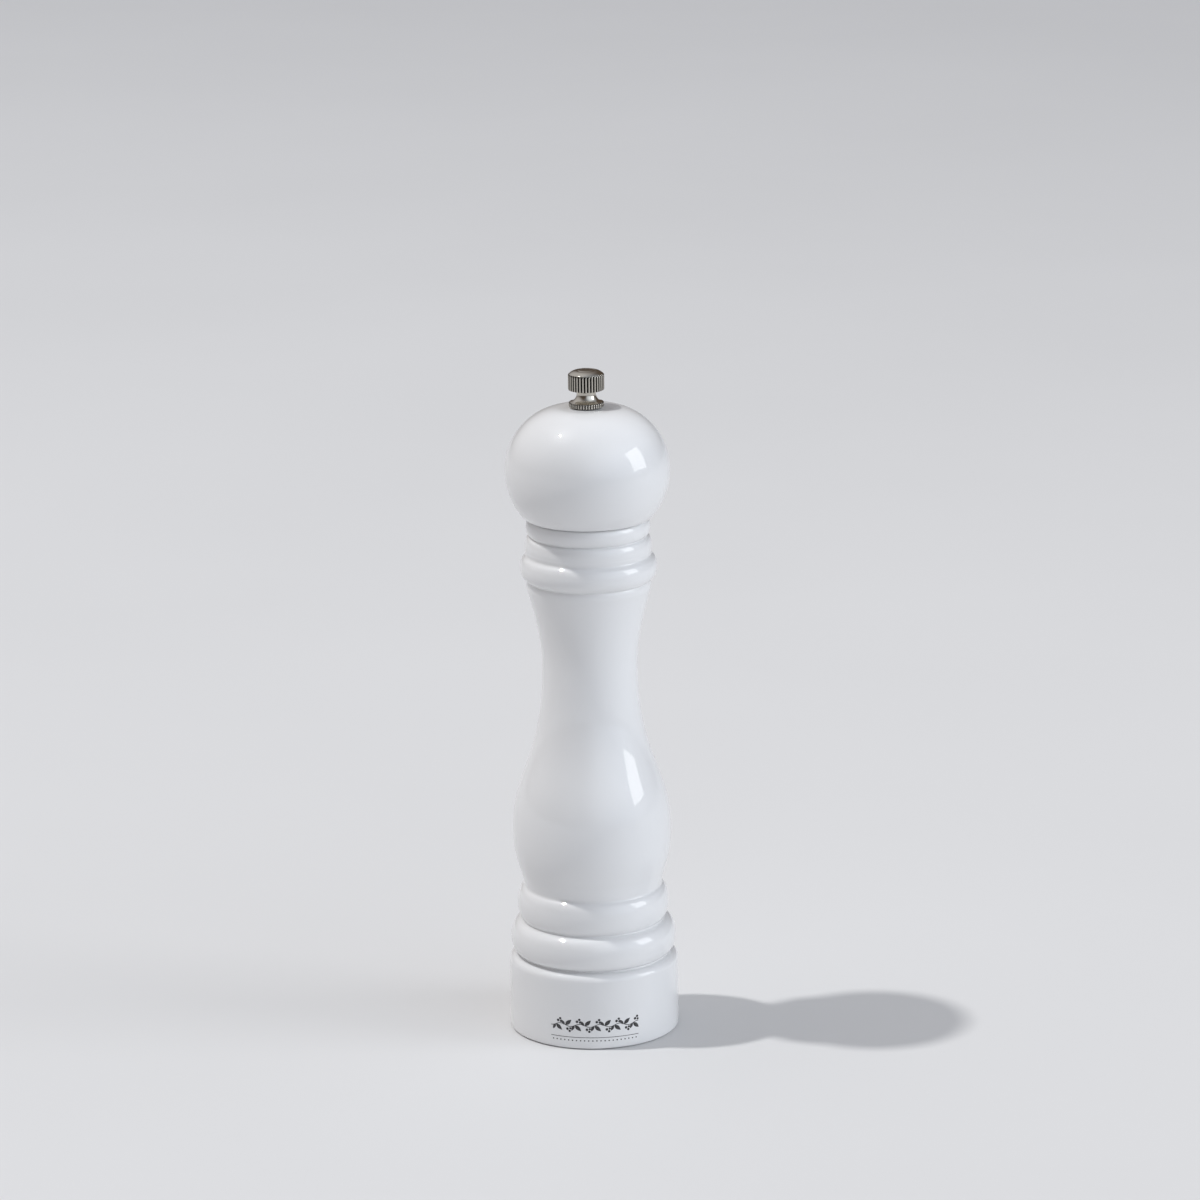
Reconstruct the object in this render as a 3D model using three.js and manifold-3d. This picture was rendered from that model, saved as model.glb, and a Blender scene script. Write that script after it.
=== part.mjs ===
// A turned wooden pepper mill with a ceramic grinder, in millimetres, +Z up.
// The origin is the centre of the flat foot, on the surface that the mill stands on.
// From the top down: a fluted knob holds the head on a square shaft, the head's tenon turns in the
// body's bore, and the shaft drives a toothed cone inside a toothed ring at the bottom of the body.

import * as THREE from "three";
import { mergeVertices } from "three/addons/utils/BufferGeometryUtils.js";
import Module from "manifold-3d";

// Whole object
const OVERALL_HEIGHT = 230.5;
const BASE_RADIUS = 29;
const SIDES = 32; // facets round a turned wooden piece
const SMALL_SIDES = 24; // facets round a small turned piece
const PLAY = 0.3; // gap left between pieces that rest on each other

// Body, from the foot up
const FOOT_ROUNDING = 0.8;
const SHOULDER_Z = 23.6;
const SHOULDER_RADIUS = 2.6;
const LOWER_GROOVE = { r: 25.9, z: 26.8 };
const LOWER_BEAD = { r: 28.3, z: 32.6 };
const MIDDLE_GROOVE = { r: 24.5, z: 38.6 };
const MIDDLE_BEAD = { r: 25.9, z: 44.6 };
const BULB_FOOT = { r: 23.3, z: 50.8 };
const BULB = { r: 27.12, z: 70.3 };
const NECK = { r: 16.25, z: 129 };
const COLLAR = { r: 21.05, z: 155.5 };
const UPPER_BEAD = { r: 23.2, z: 162.8, halfHeight: 4.45, rootR: 20.5 };
const LIP = { r: 21.45, z: 170.1, halfHeight: 3.6, rootR: 19.9 };
const TOP_RING = { r: 21.1, z: 176.9, halfHeight: 2.9, rootR: 19.8 };
const BODY_TOP = 179.7;

// Hollows in the body
const BORE_RADIUS = 12;
const BORE_MOUTH = 0.6;
const GRINDER_POCKET_RADIUS = 15.9;
const GRINDER_POCKET_TOP = 42.3;
const RECESS_RADIUS = 21.2;
const RECESS_DEPTH = 12;

// Head
const HEAD_BOTTOM = BODY_TOP + PLAY;
const HEAD_BOTTOM_RADIUS = 21.3;
const HEAD_RADIUS = 27.9;
const HEAD_WIDEST_Z = 196.5;
const HEAD_SEAT_RADIUS = 8.8;
const HEAD_SEAT_Z = 217.7;
const HEAD_BORE_RADIUS = 4;
const TENON_RADIUS = 11.6;
const TENON_BOTTOM = 167;

// Knob, with flutes cut round its grip
const KNOB_RADIUS = 6.1;
const KNOB_FLANGE_RADIUS = 5.95;
const KNOB_FLANGE_BOTTOM = HEAD_SEAT_Z + PLAY;
const KNOB_FLANGE_HEIGHT = 1.7;
const KNOB_WAIST_RADIUS = 3.3;
const KNOB_GRIP_BOTTOM = 223.8;
const KNOB_GRIP_TOP = 229.1;
const KNOB_FLUTES = 36;
const KNOB_FLUTE_DEPTH = 0.35;
const KNOB_THREAD_RADIUS = 2.7;
const KNOB_THREAD_TOP = 228.2;

// Shaft: a square bar, threaded at the top and turned round at the bottom
const SHAFT_WIDTH = 5;
const SHAFT_CORNER = 0.35;
const SHAFT_THREAD_RADIUS = 2.4;
const SHAFT_THREAD_BOTTOM = 207;
const SHAFT_TOP = 226.2;
const JOURNAL_RADIUS = 2.3;
const JOURNAL_BOTTOM = 8.9;
const JOURNAL_TOP = 15.6;
const CLIP_GROOVE_RADIUS = 1.8;
const CLIP_GROOVE_BOTTOM = 13.3;
const CLIP_GROOVE_TOP = 14.5;
const SQUARE_HOLE_WIDTH = 5.4;

// Drive plate, screwed under the head's tenon
const DRIVE_PLATE_RADIUS = 10.5;
const DRIVE_PLATE_THICKNESS = 1.5;
const DRIVE_PLATE_TOP = TENON_BOTTOM - PLAY;
const DRIVE_SCREW_CIRCLE = 7.4;

// Grinder housing: a cup open at the bottom, with a three-armed bridge at the top
const HOUSING_RADIUS = 15.5;
const HOUSING_BOTTOM = 12;
const HOUSING_TOP = 42;
const HOUSING_SEAT_RADIUS = 14.2;
const HOUSING_SEAT_TOP = 25.3;
const HOUSING_THROAT_RADIUS = 13.2;
const BRIDGE_BOTTOM = 38.5;
const BRIDGE_HUB_RADIUS = 6;
const BRIDGE_HOLE_RADIUS = 3.8;
const ARM_WIDTH = 3;
const ARM_ANGLES = [90, 210, 330];

// Ceramic grinder: tip radii at the ends and at the waist, and the depth of the teeth
const OUTER_BURR = { radius: 13.9, bottom: 12.3, waist: 17.5, top: 25 };
const OUTER_BURR_TIPS = { bottom: 12.4, waist: 10.5, top: 12.7 };
const INNER_BURR = { bottom: 14.5, waist: 18.3, top: 27 };
const INNER_BURR_TIPS = { bottom: 11.25, waist: 9.85, top: 7.9 };
const FINE_TOOTH_DEPTH = 0.5;
const COARSE_TOOTH_DEPTH = 0.9;
const OUTER_TEETH = 24;
const INNER_TEETH = 18;
const FACETS_PER_TOOTH = 4;
const TOOTH_TWIST = 0.035; // radians of helix per millimetre of height

// Rotor hub: a six-sided sleeve that carries the inner burr
const HUB_FLANGE_RADIUS = 7;
const HUB_BOTTOM = 15.7;
const HUB_FLANGE_TOP = 17;
const HUB_TOP = 28;
const HUB_CORNER_RADIUS = 5.4;
const BURR_KEY_RADIUS = 5.7;
const BURR_COUNTERBORE_RADIUS = 7.3;

// Spring and its washer, below the bridge
const SPRING_WASHER_RADIUS = 5.6;
const SPRING_WASHER_THICKNESS = 1;
const SPRING_WASHER_TOP = BRIDGE_BOTTOM - PLAY;
const SPRING_RADIUS = 4.25;
const SPRING_WIRE_RADIUS = 0.4;
const SPRING_TURNS = 5;
const SPRING_STEPS_PER_TURN = 10;
const SPRING_SIDES = 6;

// Thrust washer and retaining clip, below the rotor hub
const THRUST_WASHER = { outer: 4.8, inner: 2.8, bottom: 14.6, top: 15.4 };
const CLIP = { outer: 3.9, inner: 2.1, bottom: 13.6, top: 14.2, slot: 3.2 };

// Retaining plate, screwed to the ceiling of the recess
const PLATE_RADIUS = 20.6;
const PLATE_OPENING_RADIUS = 12.6;
const PLATE_THICKNESS = 1.5;
const PLATE_TOP = RECESS_DEPTH - PLAY;
const PLATE_HUB_RADIUS = 4.4;
const PLATE_BEARING_RADIUS = 2.6;
const PLATE_ARM_WIDTH = 3.2;
const PLATE_SCREW_CIRCLE = 18.2;
const PLATE_SCREW_ANGLES = [30, 150, 270];

// Screws and their holes
const SCREW_SIDES = 12;
const SCREW_RADIUS = 1.2;
const SCREW_HOLE_RADIUS = 1.5;
const PAN_HEAD = { r: 2.4, height: 1.7 };
const SUNK_HEAD = { r: 2.3, height: 1.3 };
const SUNK_HEAD_EDGE = 0.25;
const SCREW_TIP = 2;
const PLATE_SCREW_LENGTH = 11;
const DRIVE_SCREW_LENGTH = 9;
const CROSS = { long: 2.6, wide: 0.5, deep: 0.8 };

const FULL_TURN = 2 * Math.PI;
const radians = THREE.MathUtils.degToRad;

const wasm = await Module();
wasm.setup();

// ---- Solids: joining and cutting ----

function solidOf(geometry) {
  const bare = geometry.clone();
  bare.deleteAttribute("normal");
  bare.deleteAttribute("uv");
  const merged = mergeVertices(bare, 1e-3);
  const mesh = new wasm.Mesh({
    numProp: 3,
    vertProperties: new Float32Array(merged.attributes.position.array),
    triVerts: new Uint32Array(merged.index.array),
  });
  return new wasm.Manifold(mesh);
}

function geometryOf(solid) {
  const mesh = solid.getMesh();
  const geometry = new THREE.BufferGeometry();
  geometry.setAttribute("position", new THREE.BufferAttribute(mesh.vertProperties, 3));
  geometry.setIndex(new THREE.BufferAttribute(mesh.triVerts, 1));
  return geometry;
}

function cut(geometry, tools) {
  return geometryOf(tools.reduce((rest, tool) => rest.subtract(solidOf(tool)), solidOf(geometry)));
}

function join(geometries) {
  return geometryOf(geometries.map(solidOf).reduce((whole, piece) => whole.add(piece)));
}

// ---- Shapes ----

function point(r, z) {
  return new THREE.Vector2(r, z);
}

// A round stretch of an outline, as an arc of an ellipse in the (r, z) plane.
function arc(r, z, reachR, reachZ, startDegrees, endDegrees, steps) {
  const clockwise = endDegrees < startDegrees;
  const start = radians(startDegrees);
  const end = radians(endDegrees);
  return new THREE.EllipseCurve(r, z, reachR, reachZ, start, end, clockwise).getPoints(steps);
}

// A bead's round face, from its root below to its root above.
function bulge(bead, startDegrees, endDegrees, steps) {
  return arc(bead.rootR, bead.z, bead.r - bead.rootR, bead.halfHeight, startDegrees, endDegrees, steps);
}

// A sweeping stretch of an outline, from one point to another by way of two handles.
function sweep(from, fromHandle, toHandle, to, steps) {
  return new THREE.CubicBezierCurve(
    point(from.r, from.z),
    point(...fromHandle),
    point(...toHandle),
    point(to.r, to.z),
  ).getPoints(steps);
}

// A turned solid: its outline runs anticlockwise in the (r, z) plane.
function turned(outline, sides) {
  return new THREE.LatheGeometry(outline, sides).rotateX(Math.PI / 2);
}

// A turned solid with a hole along its axis: the outline closes on itself.
function turnedRing(outline, sides) {
  return turned([...outline, outline[0].clone()], sides);
}

function rod(radius, bottom, top, sides) {
  return new THREE.CylinderGeometry(radius, radius, top - bottom, sides)
    .rotateX(Math.PI / 2)
    .translate(0, 0, (top + bottom) / 2);
}

function block(width, depth, bottom, top) {
  return new THREE.BoxGeometry(width, depth, top - bottom).translate(0, 0, (top + bottom) / 2);
}

function plainRing(outer, inner, bottom, top, sides) {
  const outline = [point(inner, bottom), point(outer, bottom), point(outer, top), point(inner, top)];
  return turnedRing(outline, sides);
}

// Arms that run from the axis to a given radius, one at each angle.
function arms(width, reach, bottom, top) {
  return ARM_ANGLES.map((angle) =>
    block(reach, width, bottom, top)
      .translate(reach / 2, 0, 0)
      .rotateZ(radians(angle)),
  );
}

function onCircle(geometry, radius, angle) {
  const x = radius * Math.cos(radians(angle));
  const y = radius * Math.sin(radians(angle));
  return geometry.clone().translate(x, y, 0);
}

// Teeth: the flank's points move towards the root by a saw tooth that leans away from the waist.
function cutTeeth(geometry, isFlank, teeth, waist, depthAt, towardsAxis) {
  const place = geometry.attributes.position;
  for (let i = 0; i < place.count; i += 1) {
    const radius = Math.hypot(place.getX(i), place.getY(i));
    const z = place.getZ(i);
    if (isFlank(radius)) {
      const angle = Math.atan2(place.getY(i), place.getX(i));
      const facet = Math.round((angle / FULL_TURN) * teeth * FACETS_PER_TOOTH);
      const step = ((facet % FACETS_PER_TOOTH) + FACETS_PER_TOOTH) % FACETS_PER_TOOTH;
      const depth = (depthAt(z) * step) / (FACETS_PER_TOOTH - 1);
      const newRadius = towardsAxis ? radius - depth : radius + depth;
      const newAngle = angle + TOOTH_TWIST * (z - waist);
      place.setXY(i, newRadius * Math.cos(newAngle), newRadius * Math.sin(newAngle));
    }
  }
  return geometry;
}

// ---- Wooden pieces ----

function bodyOutline() {
  const footArc = BASE_RADIUS - FOOT_ROUNDING;
  const shoulderCentre = BASE_RADIUS - SHOULDER_RADIUS;
  return [
    ...arc(footArc, FOOT_ROUNDING, FOOT_ROUNDING, FOOT_ROUNDING, -90, 0, 2),
    ...arc(shoulderCentre, SHOULDER_Z, SHOULDER_RADIUS, SHOULDER_RADIUS, 0, 90, 4),
    ...sweep(LOWER_GROOVE, [27.6, 27.2], [28.3, 29.8], LOWER_BEAD, 3),
    ...sweep(LOWER_BEAD, [28.3, 35.6], [26.9, 38.1], MIDDLE_GROOVE, 4).slice(1),
    ...sweep(MIDDLE_GROOVE, [25.5, 40.2], [25.9, 42.4], MIDDLE_BEAD, 3).slice(1),
    ...sweep(MIDDLE_BEAD, [25.9, 47.3], [25.1, 49.6], BULB_FOOT, 3).slice(1),
    ...sweep(BULB_FOOT, [25.36, 58.8], [27.12, 60.8], BULB, 5).slice(1),
    ...sweep(BULB, [27.12, 91.8], [16.25, 94.5], NECK, 8).slice(1),
    ...sweep(NECK, [16.25, 137.7], [19.06, 148.5], COLLAR, 4).slice(1),
    point(21.1, 158),
    ...bulge(UPPER_BEAD, -90, 90, 8),
    ...bulge(LIP, -50, 90, 4),
    ...bulge(TOP_RING, -90, 45, 5),
    point(TOP_RING.rootR, BODY_TOP),
  ];
}

function bodyGeometry() {
  const hollow = [
    point(BORE_RADIUS + BORE_MOUTH, BODY_TOP),
    point(BORE_RADIUS, BODY_TOP - BORE_MOUTH),
    point(BORE_RADIUS, GRINDER_POCKET_TOP),
    point(GRINDER_POCKET_RADIUS, GRINDER_POCKET_TOP),
    point(GRINDER_POCKET_RADIUS, RECESS_DEPTH),
    point(RECESS_RADIUS, RECESS_DEPTH),
    point(RECESS_RADIUS, 0),
  ];
  const blank = turnedRing([...bodyOutline(), ...hollow], SIDES);
  const pilot = rod(SCREW_HOLE_RADIUS, RECESS_DEPTH - 1, RECESS_DEPTH + PLATE_SCREW_LENGTH, SCREW_SIDES);
  return cut(
    blank,
    PLATE_SCREW_ANGLES.map((angle) => onCircle(pilot, PLATE_SCREW_CIRCLE, angle)),
  );
}

function headGeometry() {
  const bottom = { r: HEAD_BOTTOM_RADIUS, z: HEAD_BOTTOM };
  const widest = { r: HEAD_RADIUS, z: HEAD_WIDEST_Z };
  const seat = { r: HEAD_SEAT_RADIUS, z: HEAD_SEAT_Z };
  const outline = [
    point(HEAD_BORE_RADIUS, TENON_BOTTOM),
    point(TENON_RADIUS - BORE_MOUTH, TENON_BOTTOM),
    point(TENON_RADIUS, TENON_BOTTOM + BORE_MOUTH),
    point(TENON_RADIUS, HEAD_BOTTOM),
    ...sweep(bottom, [24.3, 182.4], [27.9, 189.3], widest, 6),
    ...sweep(widest, [27.9, 209], [17.5, 217.7], seat, 10).slice(1),
    point(HEAD_BORE_RADIUS, HEAD_SEAT_Z),
  ];
  const pilot = rod(SCREW_HOLE_RADIUS, TENON_BOTTOM - 1, TENON_BOTTOM + DRIVE_SCREW_LENGTH, SCREW_SIDES);
  return cut(
    turnedRing(outline, SIDES),
    ARM_ANGLES.map((angle) => onCircle(pilot, DRIVE_SCREW_CIRCLE, angle)),
  );
}

// ---- Knob and shaft ----

function flutedDisc(radius, depth, bottom, top) {
  const outline = new THREE.Shape();
  for (let i = 0; i < 2 * KNOB_FLUTES; i += 1) {
    const r = radius - (i % 2) * depth;
    const angle = (i * Math.PI) / KNOB_FLUTES;
    const step = i === 0 ? "moveTo" : "lineTo";
    outline[step](r * Math.cos(angle), r * Math.sin(angle));
  }
  outline.closePath();
  const disc = new THREE.ExtrudeGeometry(outline, { depth: top - bottom, bevelEnabled: false });
  return disc.translate(0, 0, bottom);
}

function knobGeometry() {
  const flangeTop = KNOB_FLANGE_BOTTOM + KNOB_FLANGE_HEIGHT;
  const shoulder = KNOB_RADIUS - 2 * KNOB_FLUTE_DEPTH;
  const outline = [
    point(0, KNOB_FLANGE_BOTTOM),
    point(KNOB_FLANGE_RADIUS - 0.3, KNOB_FLANGE_BOTTOM),
    point(KNOB_FLANGE_RADIUS, KNOB_FLANGE_BOTTOM + 0.3),
    point(KNOB_FLANGE_RADIUS, flangeTop - 0.3),
    point(KNOB_FLANGE_RADIUS - 0.3, flangeTop),
    point(KNOB_WAIST_RADIUS + 0.9, flangeTop + 0.3),
    point(KNOB_WAIST_RADIUS, flangeTop + 2.2),
    point(KNOB_WAIST_RADIUS, KNOB_GRIP_BOTTOM - 0.5),
    point(shoulder, KNOB_GRIP_BOTTOM + 0.2),
    point(shoulder, KNOB_GRIP_TOP - 0.1),
    ...arc(shoulder - 1.4, KNOB_GRIP_TOP, 1.4, OVERALL_HEIGHT - KNOB_GRIP_TOP, 0, 90, 3),
    point(0, OVERALL_HEIGHT),
  ];
  const grip = flutedDisc(KNOB_RADIUS, KNOB_FLUTE_DEPTH, KNOB_GRIP_BOTTOM, KNOB_GRIP_TOP);
  const thread = rod(KNOB_THREAD_RADIUS, KNOB_FLANGE_BOTTOM - 1, KNOB_THREAD_TOP, SMALL_SIDES);
  return cut(join([turned(outline, SMALL_SIDES), grip]), [thread]);
}

function shaftGeometry() {
  const half = SHAFT_WIDTH / 2;
  const flat = half - SHAFT_CORNER;
  const section = new THREE.Shape();
  section.moveTo(half, -flat);
  [
    [half, flat],
    [flat, half],
    [-flat, half],
    [-half, flat],
    [-half, -flat],
    [-flat, -half],
    [flat, -half],
  ].forEach(([x, y]) => section.lineTo(x, y));
  section.closePath();
  const bar = new THREE.ExtrudeGeometry(section, {
    depth: SHAFT_THREAD_BOTTOM - JOURNAL_TOP,
    bevelEnabled: false,
  }).translate(0, 0, JOURNAL_TOP);
  const journal = turned(
    [
      point(0, JOURNAL_BOTTOM),
      point(JOURNAL_RADIUS - 0.4, JOURNAL_BOTTOM),
      point(JOURNAL_RADIUS, JOURNAL_BOTTOM + 0.4),
      point(JOURNAL_RADIUS, CLIP_GROOVE_BOTTOM),
      point(CLIP_GROOVE_RADIUS, CLIP_GROOVE_BOTTOM),
      point(CLIP_GROOVE_RADIUS, CLIP_GROOVE_TOP),
      point(JOURNAL_RADIUS, CLIP_GROOVE_TOP),
      point(JOURNAL_RADIUS, JOURNAL_TOP + 1),
      point(0, JOURNAL_TOP + 1),
    ],
    SMALL_SIDES,
  );
  const thread = turned(
    [
      point(0, SHAFT_THREAD_BOTTOM - 1),
      point(SHAFT_THREAD_RADIUS, SHAFT_THREAD_BOTTOM - 1),
      point(SHAFT_THREAD_RADIUS, SHAFT_TOP - 0.6),
      point(SHAFT_THREAD_RADIUS - 0.6, SHAFT_TOP),
      point(0, SHAFT_TOP),
    ],
    SMALL_SIDES,
  );
  return join([bar, journal, thread]);
}

// ---- Screws ----

// A cross-headed screw that points up, with the face of its head at z = 0.
function screwGeometry(headOutline, headHeight, length) {
  const outline = [
    point(0, 0),
    ...headOutline,
    point(SCREW_RADIUS, headHeight),
    point(SCREW_RADIUS, length - SCREW_TIP),
    point(0, length),
  ];
  const slot = block(CROSS.long, CROSS.wide, -CROSS.deep, CROSS.deep);
  return cut(turned(outline, SCREW_SIDES), [slot, slot.clone().rotateZ(Math.PI / 2)]);
}

function panScrewGeometry() {
  const { r, height } = PAN_HEAD;
  const outline = [point(r * 0.8, 0), point(r, height * 0.4), point(r, height)];
  return screwGeometry(outline, height, PLATE_SCREW_LENGTH);
}

function sunkScrewGeometry() {
  const { r, height } = SUNK_HEAD;
  return screwGeometry([point(r, 0), point(r, SUNK_HEAD_EDGE)], height, DRIVE_SCREW_LENGTH);
}

// ---- Plates ----

function drivePlateGeometry() {
  const bottom = DRIVE_PLATE_TOP - DRIVE_PLATE_THICKNESS;
  const squareHole = block(SQUARE_HOLE_WIDTH, SQUARE_HOLE_WIDTH, bottom - 1, DRIVE_PLATE_TOP + 1);
  const sink = turned(
    [
      point(0, bottom - 1),
      point(SUNK_HEAD.r + PLAY, bottom - 1),
      point(SUNK_HEAD.r + PLAY, bottom + SUNK_HEAD_EDGE),
      point(SCREW_HOLE_RADIUS, bottom + SUNK_HEAD.height),
      point(SCREW_HOLE_RADIUS, DRIVE_PLATE_TOP + 1),
      point(0, DRIVE_PLATE_TOP + 1),
    ],
    SCREW_SIDES,
  );
  const holes = ARM_ANGLES.map((angle) => onCircle(sink, DRIVE_SCREW_CIRCLE, angle));
  return cut(rod(DRIVE_PLATE_RADIUS, bottom, DRIVE_PLATE_TOP, SIDES), [squareHole, ...holes]);
}

function retainingPlateGeometry() {
  const bottom = PLATE_TOP - PLATE_THICKNESS;
  const ring = plainRing(PLATE_RADIUS, PLATE_OPENING_RADIUS, bottom, PLATE_TOP, SIDES);
  const hub = rod(PLATE_HUB_RADIUS, bottom, PLATE_TOP, SMALL_SIDES);
  const spokes = arms(PLATE_ARM_WIDTH, PLATE_OPENING_RADIUS + 1, bottom, PLATE_TOP);
  const bearing = rod(PLATE_BEARING_RADIUS, bottom - 1, PLATE_TOP + 1, SMALL_SIDES);
  const screwHole = rod(SCREW_HOLE_RADIUS, bottom - 1, PLATE_TOP + 1, SCREW_SIDES);
  const holes = PLATE_SCREW_ANGLES.map((angle) => onCircle(screwHole, PLATE_SCREW_CIRCLE, angle));
  return cut(join([ring, hub, ...spokes]), [bearing, ...holes]);
}

// ---- Grinder ----

function housingGeometry() {
  const cup = turnedRing(
    [
      point(HOUSING_SEAT_RADIUS, HOUSING_BOTTOM),
      point(HOUSING_RADIUS, HOUSING_BOTTOM),
      point(HOUSING_RADIUS, HOUSING_TOP - 0.6),
      point(HOUSING_RADIUS - 0.6, HOUSING_TOP),
      point(HOUSING_THROAT_RADIUS, HOUSING_TOP),
      point(HOUSING_THROAT_RADIUS, HOUSING_SEAT_TOP),
      point(HOUSING_SEAT_RADIUS, HOUSING_SEAT_TOP),
    ],
    SIDES,
  );
  const hub = rod(BRIDGE_HUB_RADIUS, BRIDGE_BOTTOM, HOUSING_TOP, SMALL_SIDES);
  const spokes = arms(ARM_WIDTH, HOUSING_THROAT_RADIUS + 1, BRIDGE_BOTTOM, HOUSING_TOP);
  const hole = rod(BRIDGE_HOLE_RADIUS, BRIDGE_BOTTOM - 1, HOUSING_TOP + 1, SMALL_SIDES);
  return cut(join([cup, hub, ...spokes]), [hole]);
}

// Tooth depth grows from fine at the waist and below it to coarse at the top.
function toothDepth(waist, top) {
  const { clamp, lerp } = THREE.MathUtils;
  return (z) => lerp(FINE_TOOTH_DEPTH, COARSE_TOOTH_DEPTH, clamp((z - waist) / (top - waist), 0, 1));
}

function outerBurrGeometry() {
  const { radius, bottom, waist, top } = OUTER_BURR;
  const middle = (waist + top) / 2;
  const middleTips = (OUTER_BURR_TIPS.waist + OUTER_BURR_TIPS.top) / 2;
  const outline = [
    point(radius, bottom),
    point(radius, top),
    point(OUTER_BURR_TIPS.top, top),
    point(middleTips, middle),
    point(OUTER_BURR_TIPS.waist, waist),
    point(OUTER_BURR_TIPS.bottom, bottom),
  ];
  const blank = turnedRing(outline, OUTER_TEETH * FACETS_PER_TOOTH);
  return cutTeeth(blank, (r) => r < radius - 0.5, OUTER_TEETH, waist, toothDepth(waist, top), false);
}

function innerBurrGeometry() {
  const { bottom, waist, top } = INNER_BURR;
  const middle = (waist + top) / 2;
  const middleTips = (INNER_BURR_TIPS.waist + INNER_BURR_TIPS.top) / 2;
  const outline = [
    point(0, bottom),
    point(INNER_BURR_TIPS.bottom, bottom),
    point(INNER_BURR_TIPS.waist, waist),
    point(middleTips, middle),
    point(INNER_BURR_TIPS.top, top),
    point(0, top),
  ];
  const blank = turned(outline, INNER_TEETH * FACETS_PER_TOOTH);
  const toothed = cutTeeth(blank, (r) => r > 1, INNER_TEETH, waist, toothDepth(waist, top), true);
  const key = rod(BURR_KEY_RADIUS, bottom - 1, top + 1, 6);
  const counterbore = rod(BURR_COUNTERBORE_RADIUS, bottom - 1, HUB_FLANGE_TOP + PLAY, SMALL_SIDES);
  return cut(toothed, [key, counterbore]);
}

function rotorHubGeometry() {
  const flange = rod(HUB_FLANGE_RADIUS, HUB_BOTTOM, HUB_FLANGE_TOP, SMALL_SIDES);
  const sleeve = rod(HUB_CORNER_RADIUS, HUB_FLANGE_TOP - 0.5, HUB_TOP, 6);
  const squareHole = block(SQUARE_HOLE_WIDTH, SQUARE_HOLE_WIDTH, HUB_BOTTOM - 1, HUB_TOP + 1);
  return cut(join([flange, sleeve]), [squareHole]);
}

function springWasherGeometry() {
  const bottom = SPRING_WASHER_TOP - SPRING_WASHER_THICKNESS;
  const disc = rod(SPRING_WASHER_RADIUS, bottom, SPRING_WASHER_TOP, SMALL_SIDES);
  return cut(disc, [block(SQUARE_HOLE_WIDTH, SQUARE_HOLE_WIDTH, bottom - 1, SPRING_WASHER_TOP + 1)]);
}

class Coil extends THREE.Curve {
  constructor(radius, bottom, top, turns) {
    super();
    Object.assign(this, { radius, bottom, top, turns });
  }

  getPoint(t, target = new THREE.Vector3()) {
    const angle = t * this.turns * FULL_TURN;
    const z = THREE.MathUtils.lerp(this.bottom, this.top, t);
    return target.set(this.radius * Math.cos(angle), this.radius * Math.sin(angle), z);
  }
}

function springGeometry() {
  const bottom = HUB_TOP + PLAY + SPRING_WIRE_RADIUS;
  const top = SPRING_WASHER_TOP - SPRING_WASHER_THICKNESS - PLAY - SPRING_WIRE_RADIUS;
  const wire = new THREE.Shape();
  for (let i = 0; i < SPRING_SIDES; i += 1) {
    const angle = (i * FULL_TURN) / SPRING_SIDES;
    const step = i === 0 ? "moveTo" : "lineTo";
    wire[step](SPRING_WIRE_RADIUS * Math.cos(angle), SPRING_WIRE_RADIUS * Math.sin(angle));
  }
  wire.closePath();
  return new THREE.ExtrudeGeometry(wire, {
    steps: SPRING_TURNS * SPRING_STEPS_PER_TURN,
    bevelEnabled: false,
    extrudePath: new Coil(SPRING_RADIUS, bottom, top, SPRING_TURNS),
  });
}

function thrustWasherGeometry() {
  const { outer, inner, bottom, top } = THRUST_WASHER;
  return plainRing(outer, inner, bottom, top, SMALL_SIDES);
}

function retainingClipGeometry() {
  const { outer, inner, bottom, top, slot } = CLIP;
  const mouth = block(outer + 1, slot, bottom - 1, top + 1).translate((outer + 1) / 2, 0, 0);
  return cut(plainRing(outer, inner, bottom, top, SMALL_SIDES), [mouth]);
}

// ---- The mill ----

const lacquer = { color: 0xe9ebee, roughness: 0.18, metalness: 0 };
const nickel = { color: 0xb9b5ac, roughness: 0.15, metalness: 1 };
const aluminium = { color: 0xc4c6c8, roughness: 0.35, metalness: 1 };
const steel = { color: 0x9fa1a3, roughness: 0.4, metalness: 1 };
const springSteel = { color: 0x8f9092, roughness: 0.3, metalness: 1 };
const ceramic = { color: 0xe6e2d8, roughness: 0.55, metalness: 0 };
const nylon = { color: 0x1d1e20, roughness: 0.6, metalness: 0 };

const group = new THREE.Group();

function add(name, geometry, finish) {
  const mesh = new THREE.Mesh(geometry, new THREE.MeshStandardMaterial(finish));
  mesh.name = name;
  group.add(mesh);
  return mesh;
}

add("body", bodyGeometry(), lacquer);
add("head", headGeometry(), lacquer);
add("knob", knobGeometry(), nickel);
add("shaft", shaftGeometry(), aluminium);
add("drive_plate", drivePlateGeometry(), steel);
add("grinder_housing", housingGeometry(), nylon);
add("outer_burr", outerBurrGeometry(), ceramic);
add("inner_burr", innerBurrGeometry(), ceramic);
add("rotor_hub", rotorHubGeometry(), nylon);
add("spring_washer", springWasherGeometry(), nylon);
add("spring", springGeometry(), springSteel);
add("thrust_washer", thrustWasherGeometry(), steel);
add("retaining_clip", retainingClipGeometry(), springSteel);
add("retaining_plate", retainingPlateGeometry(), steel);

ARM_ANGLES.forEach((angle, i) => {
  const screw = add(`drive_plate_screw_${i + 1}`, sunkScrewGeometry(), steel);
  const x = DRIVE_SCREW_CIRCLE * Math.cos(radians(angle));
  const y = DRIVE_SCREW_CIRCLE * Math.sin(radians(angle));
  screw.position.set(x, y, DRIVE_PLATE_TOP - DRIVE_PLATE_THICKNESS);
});

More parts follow.
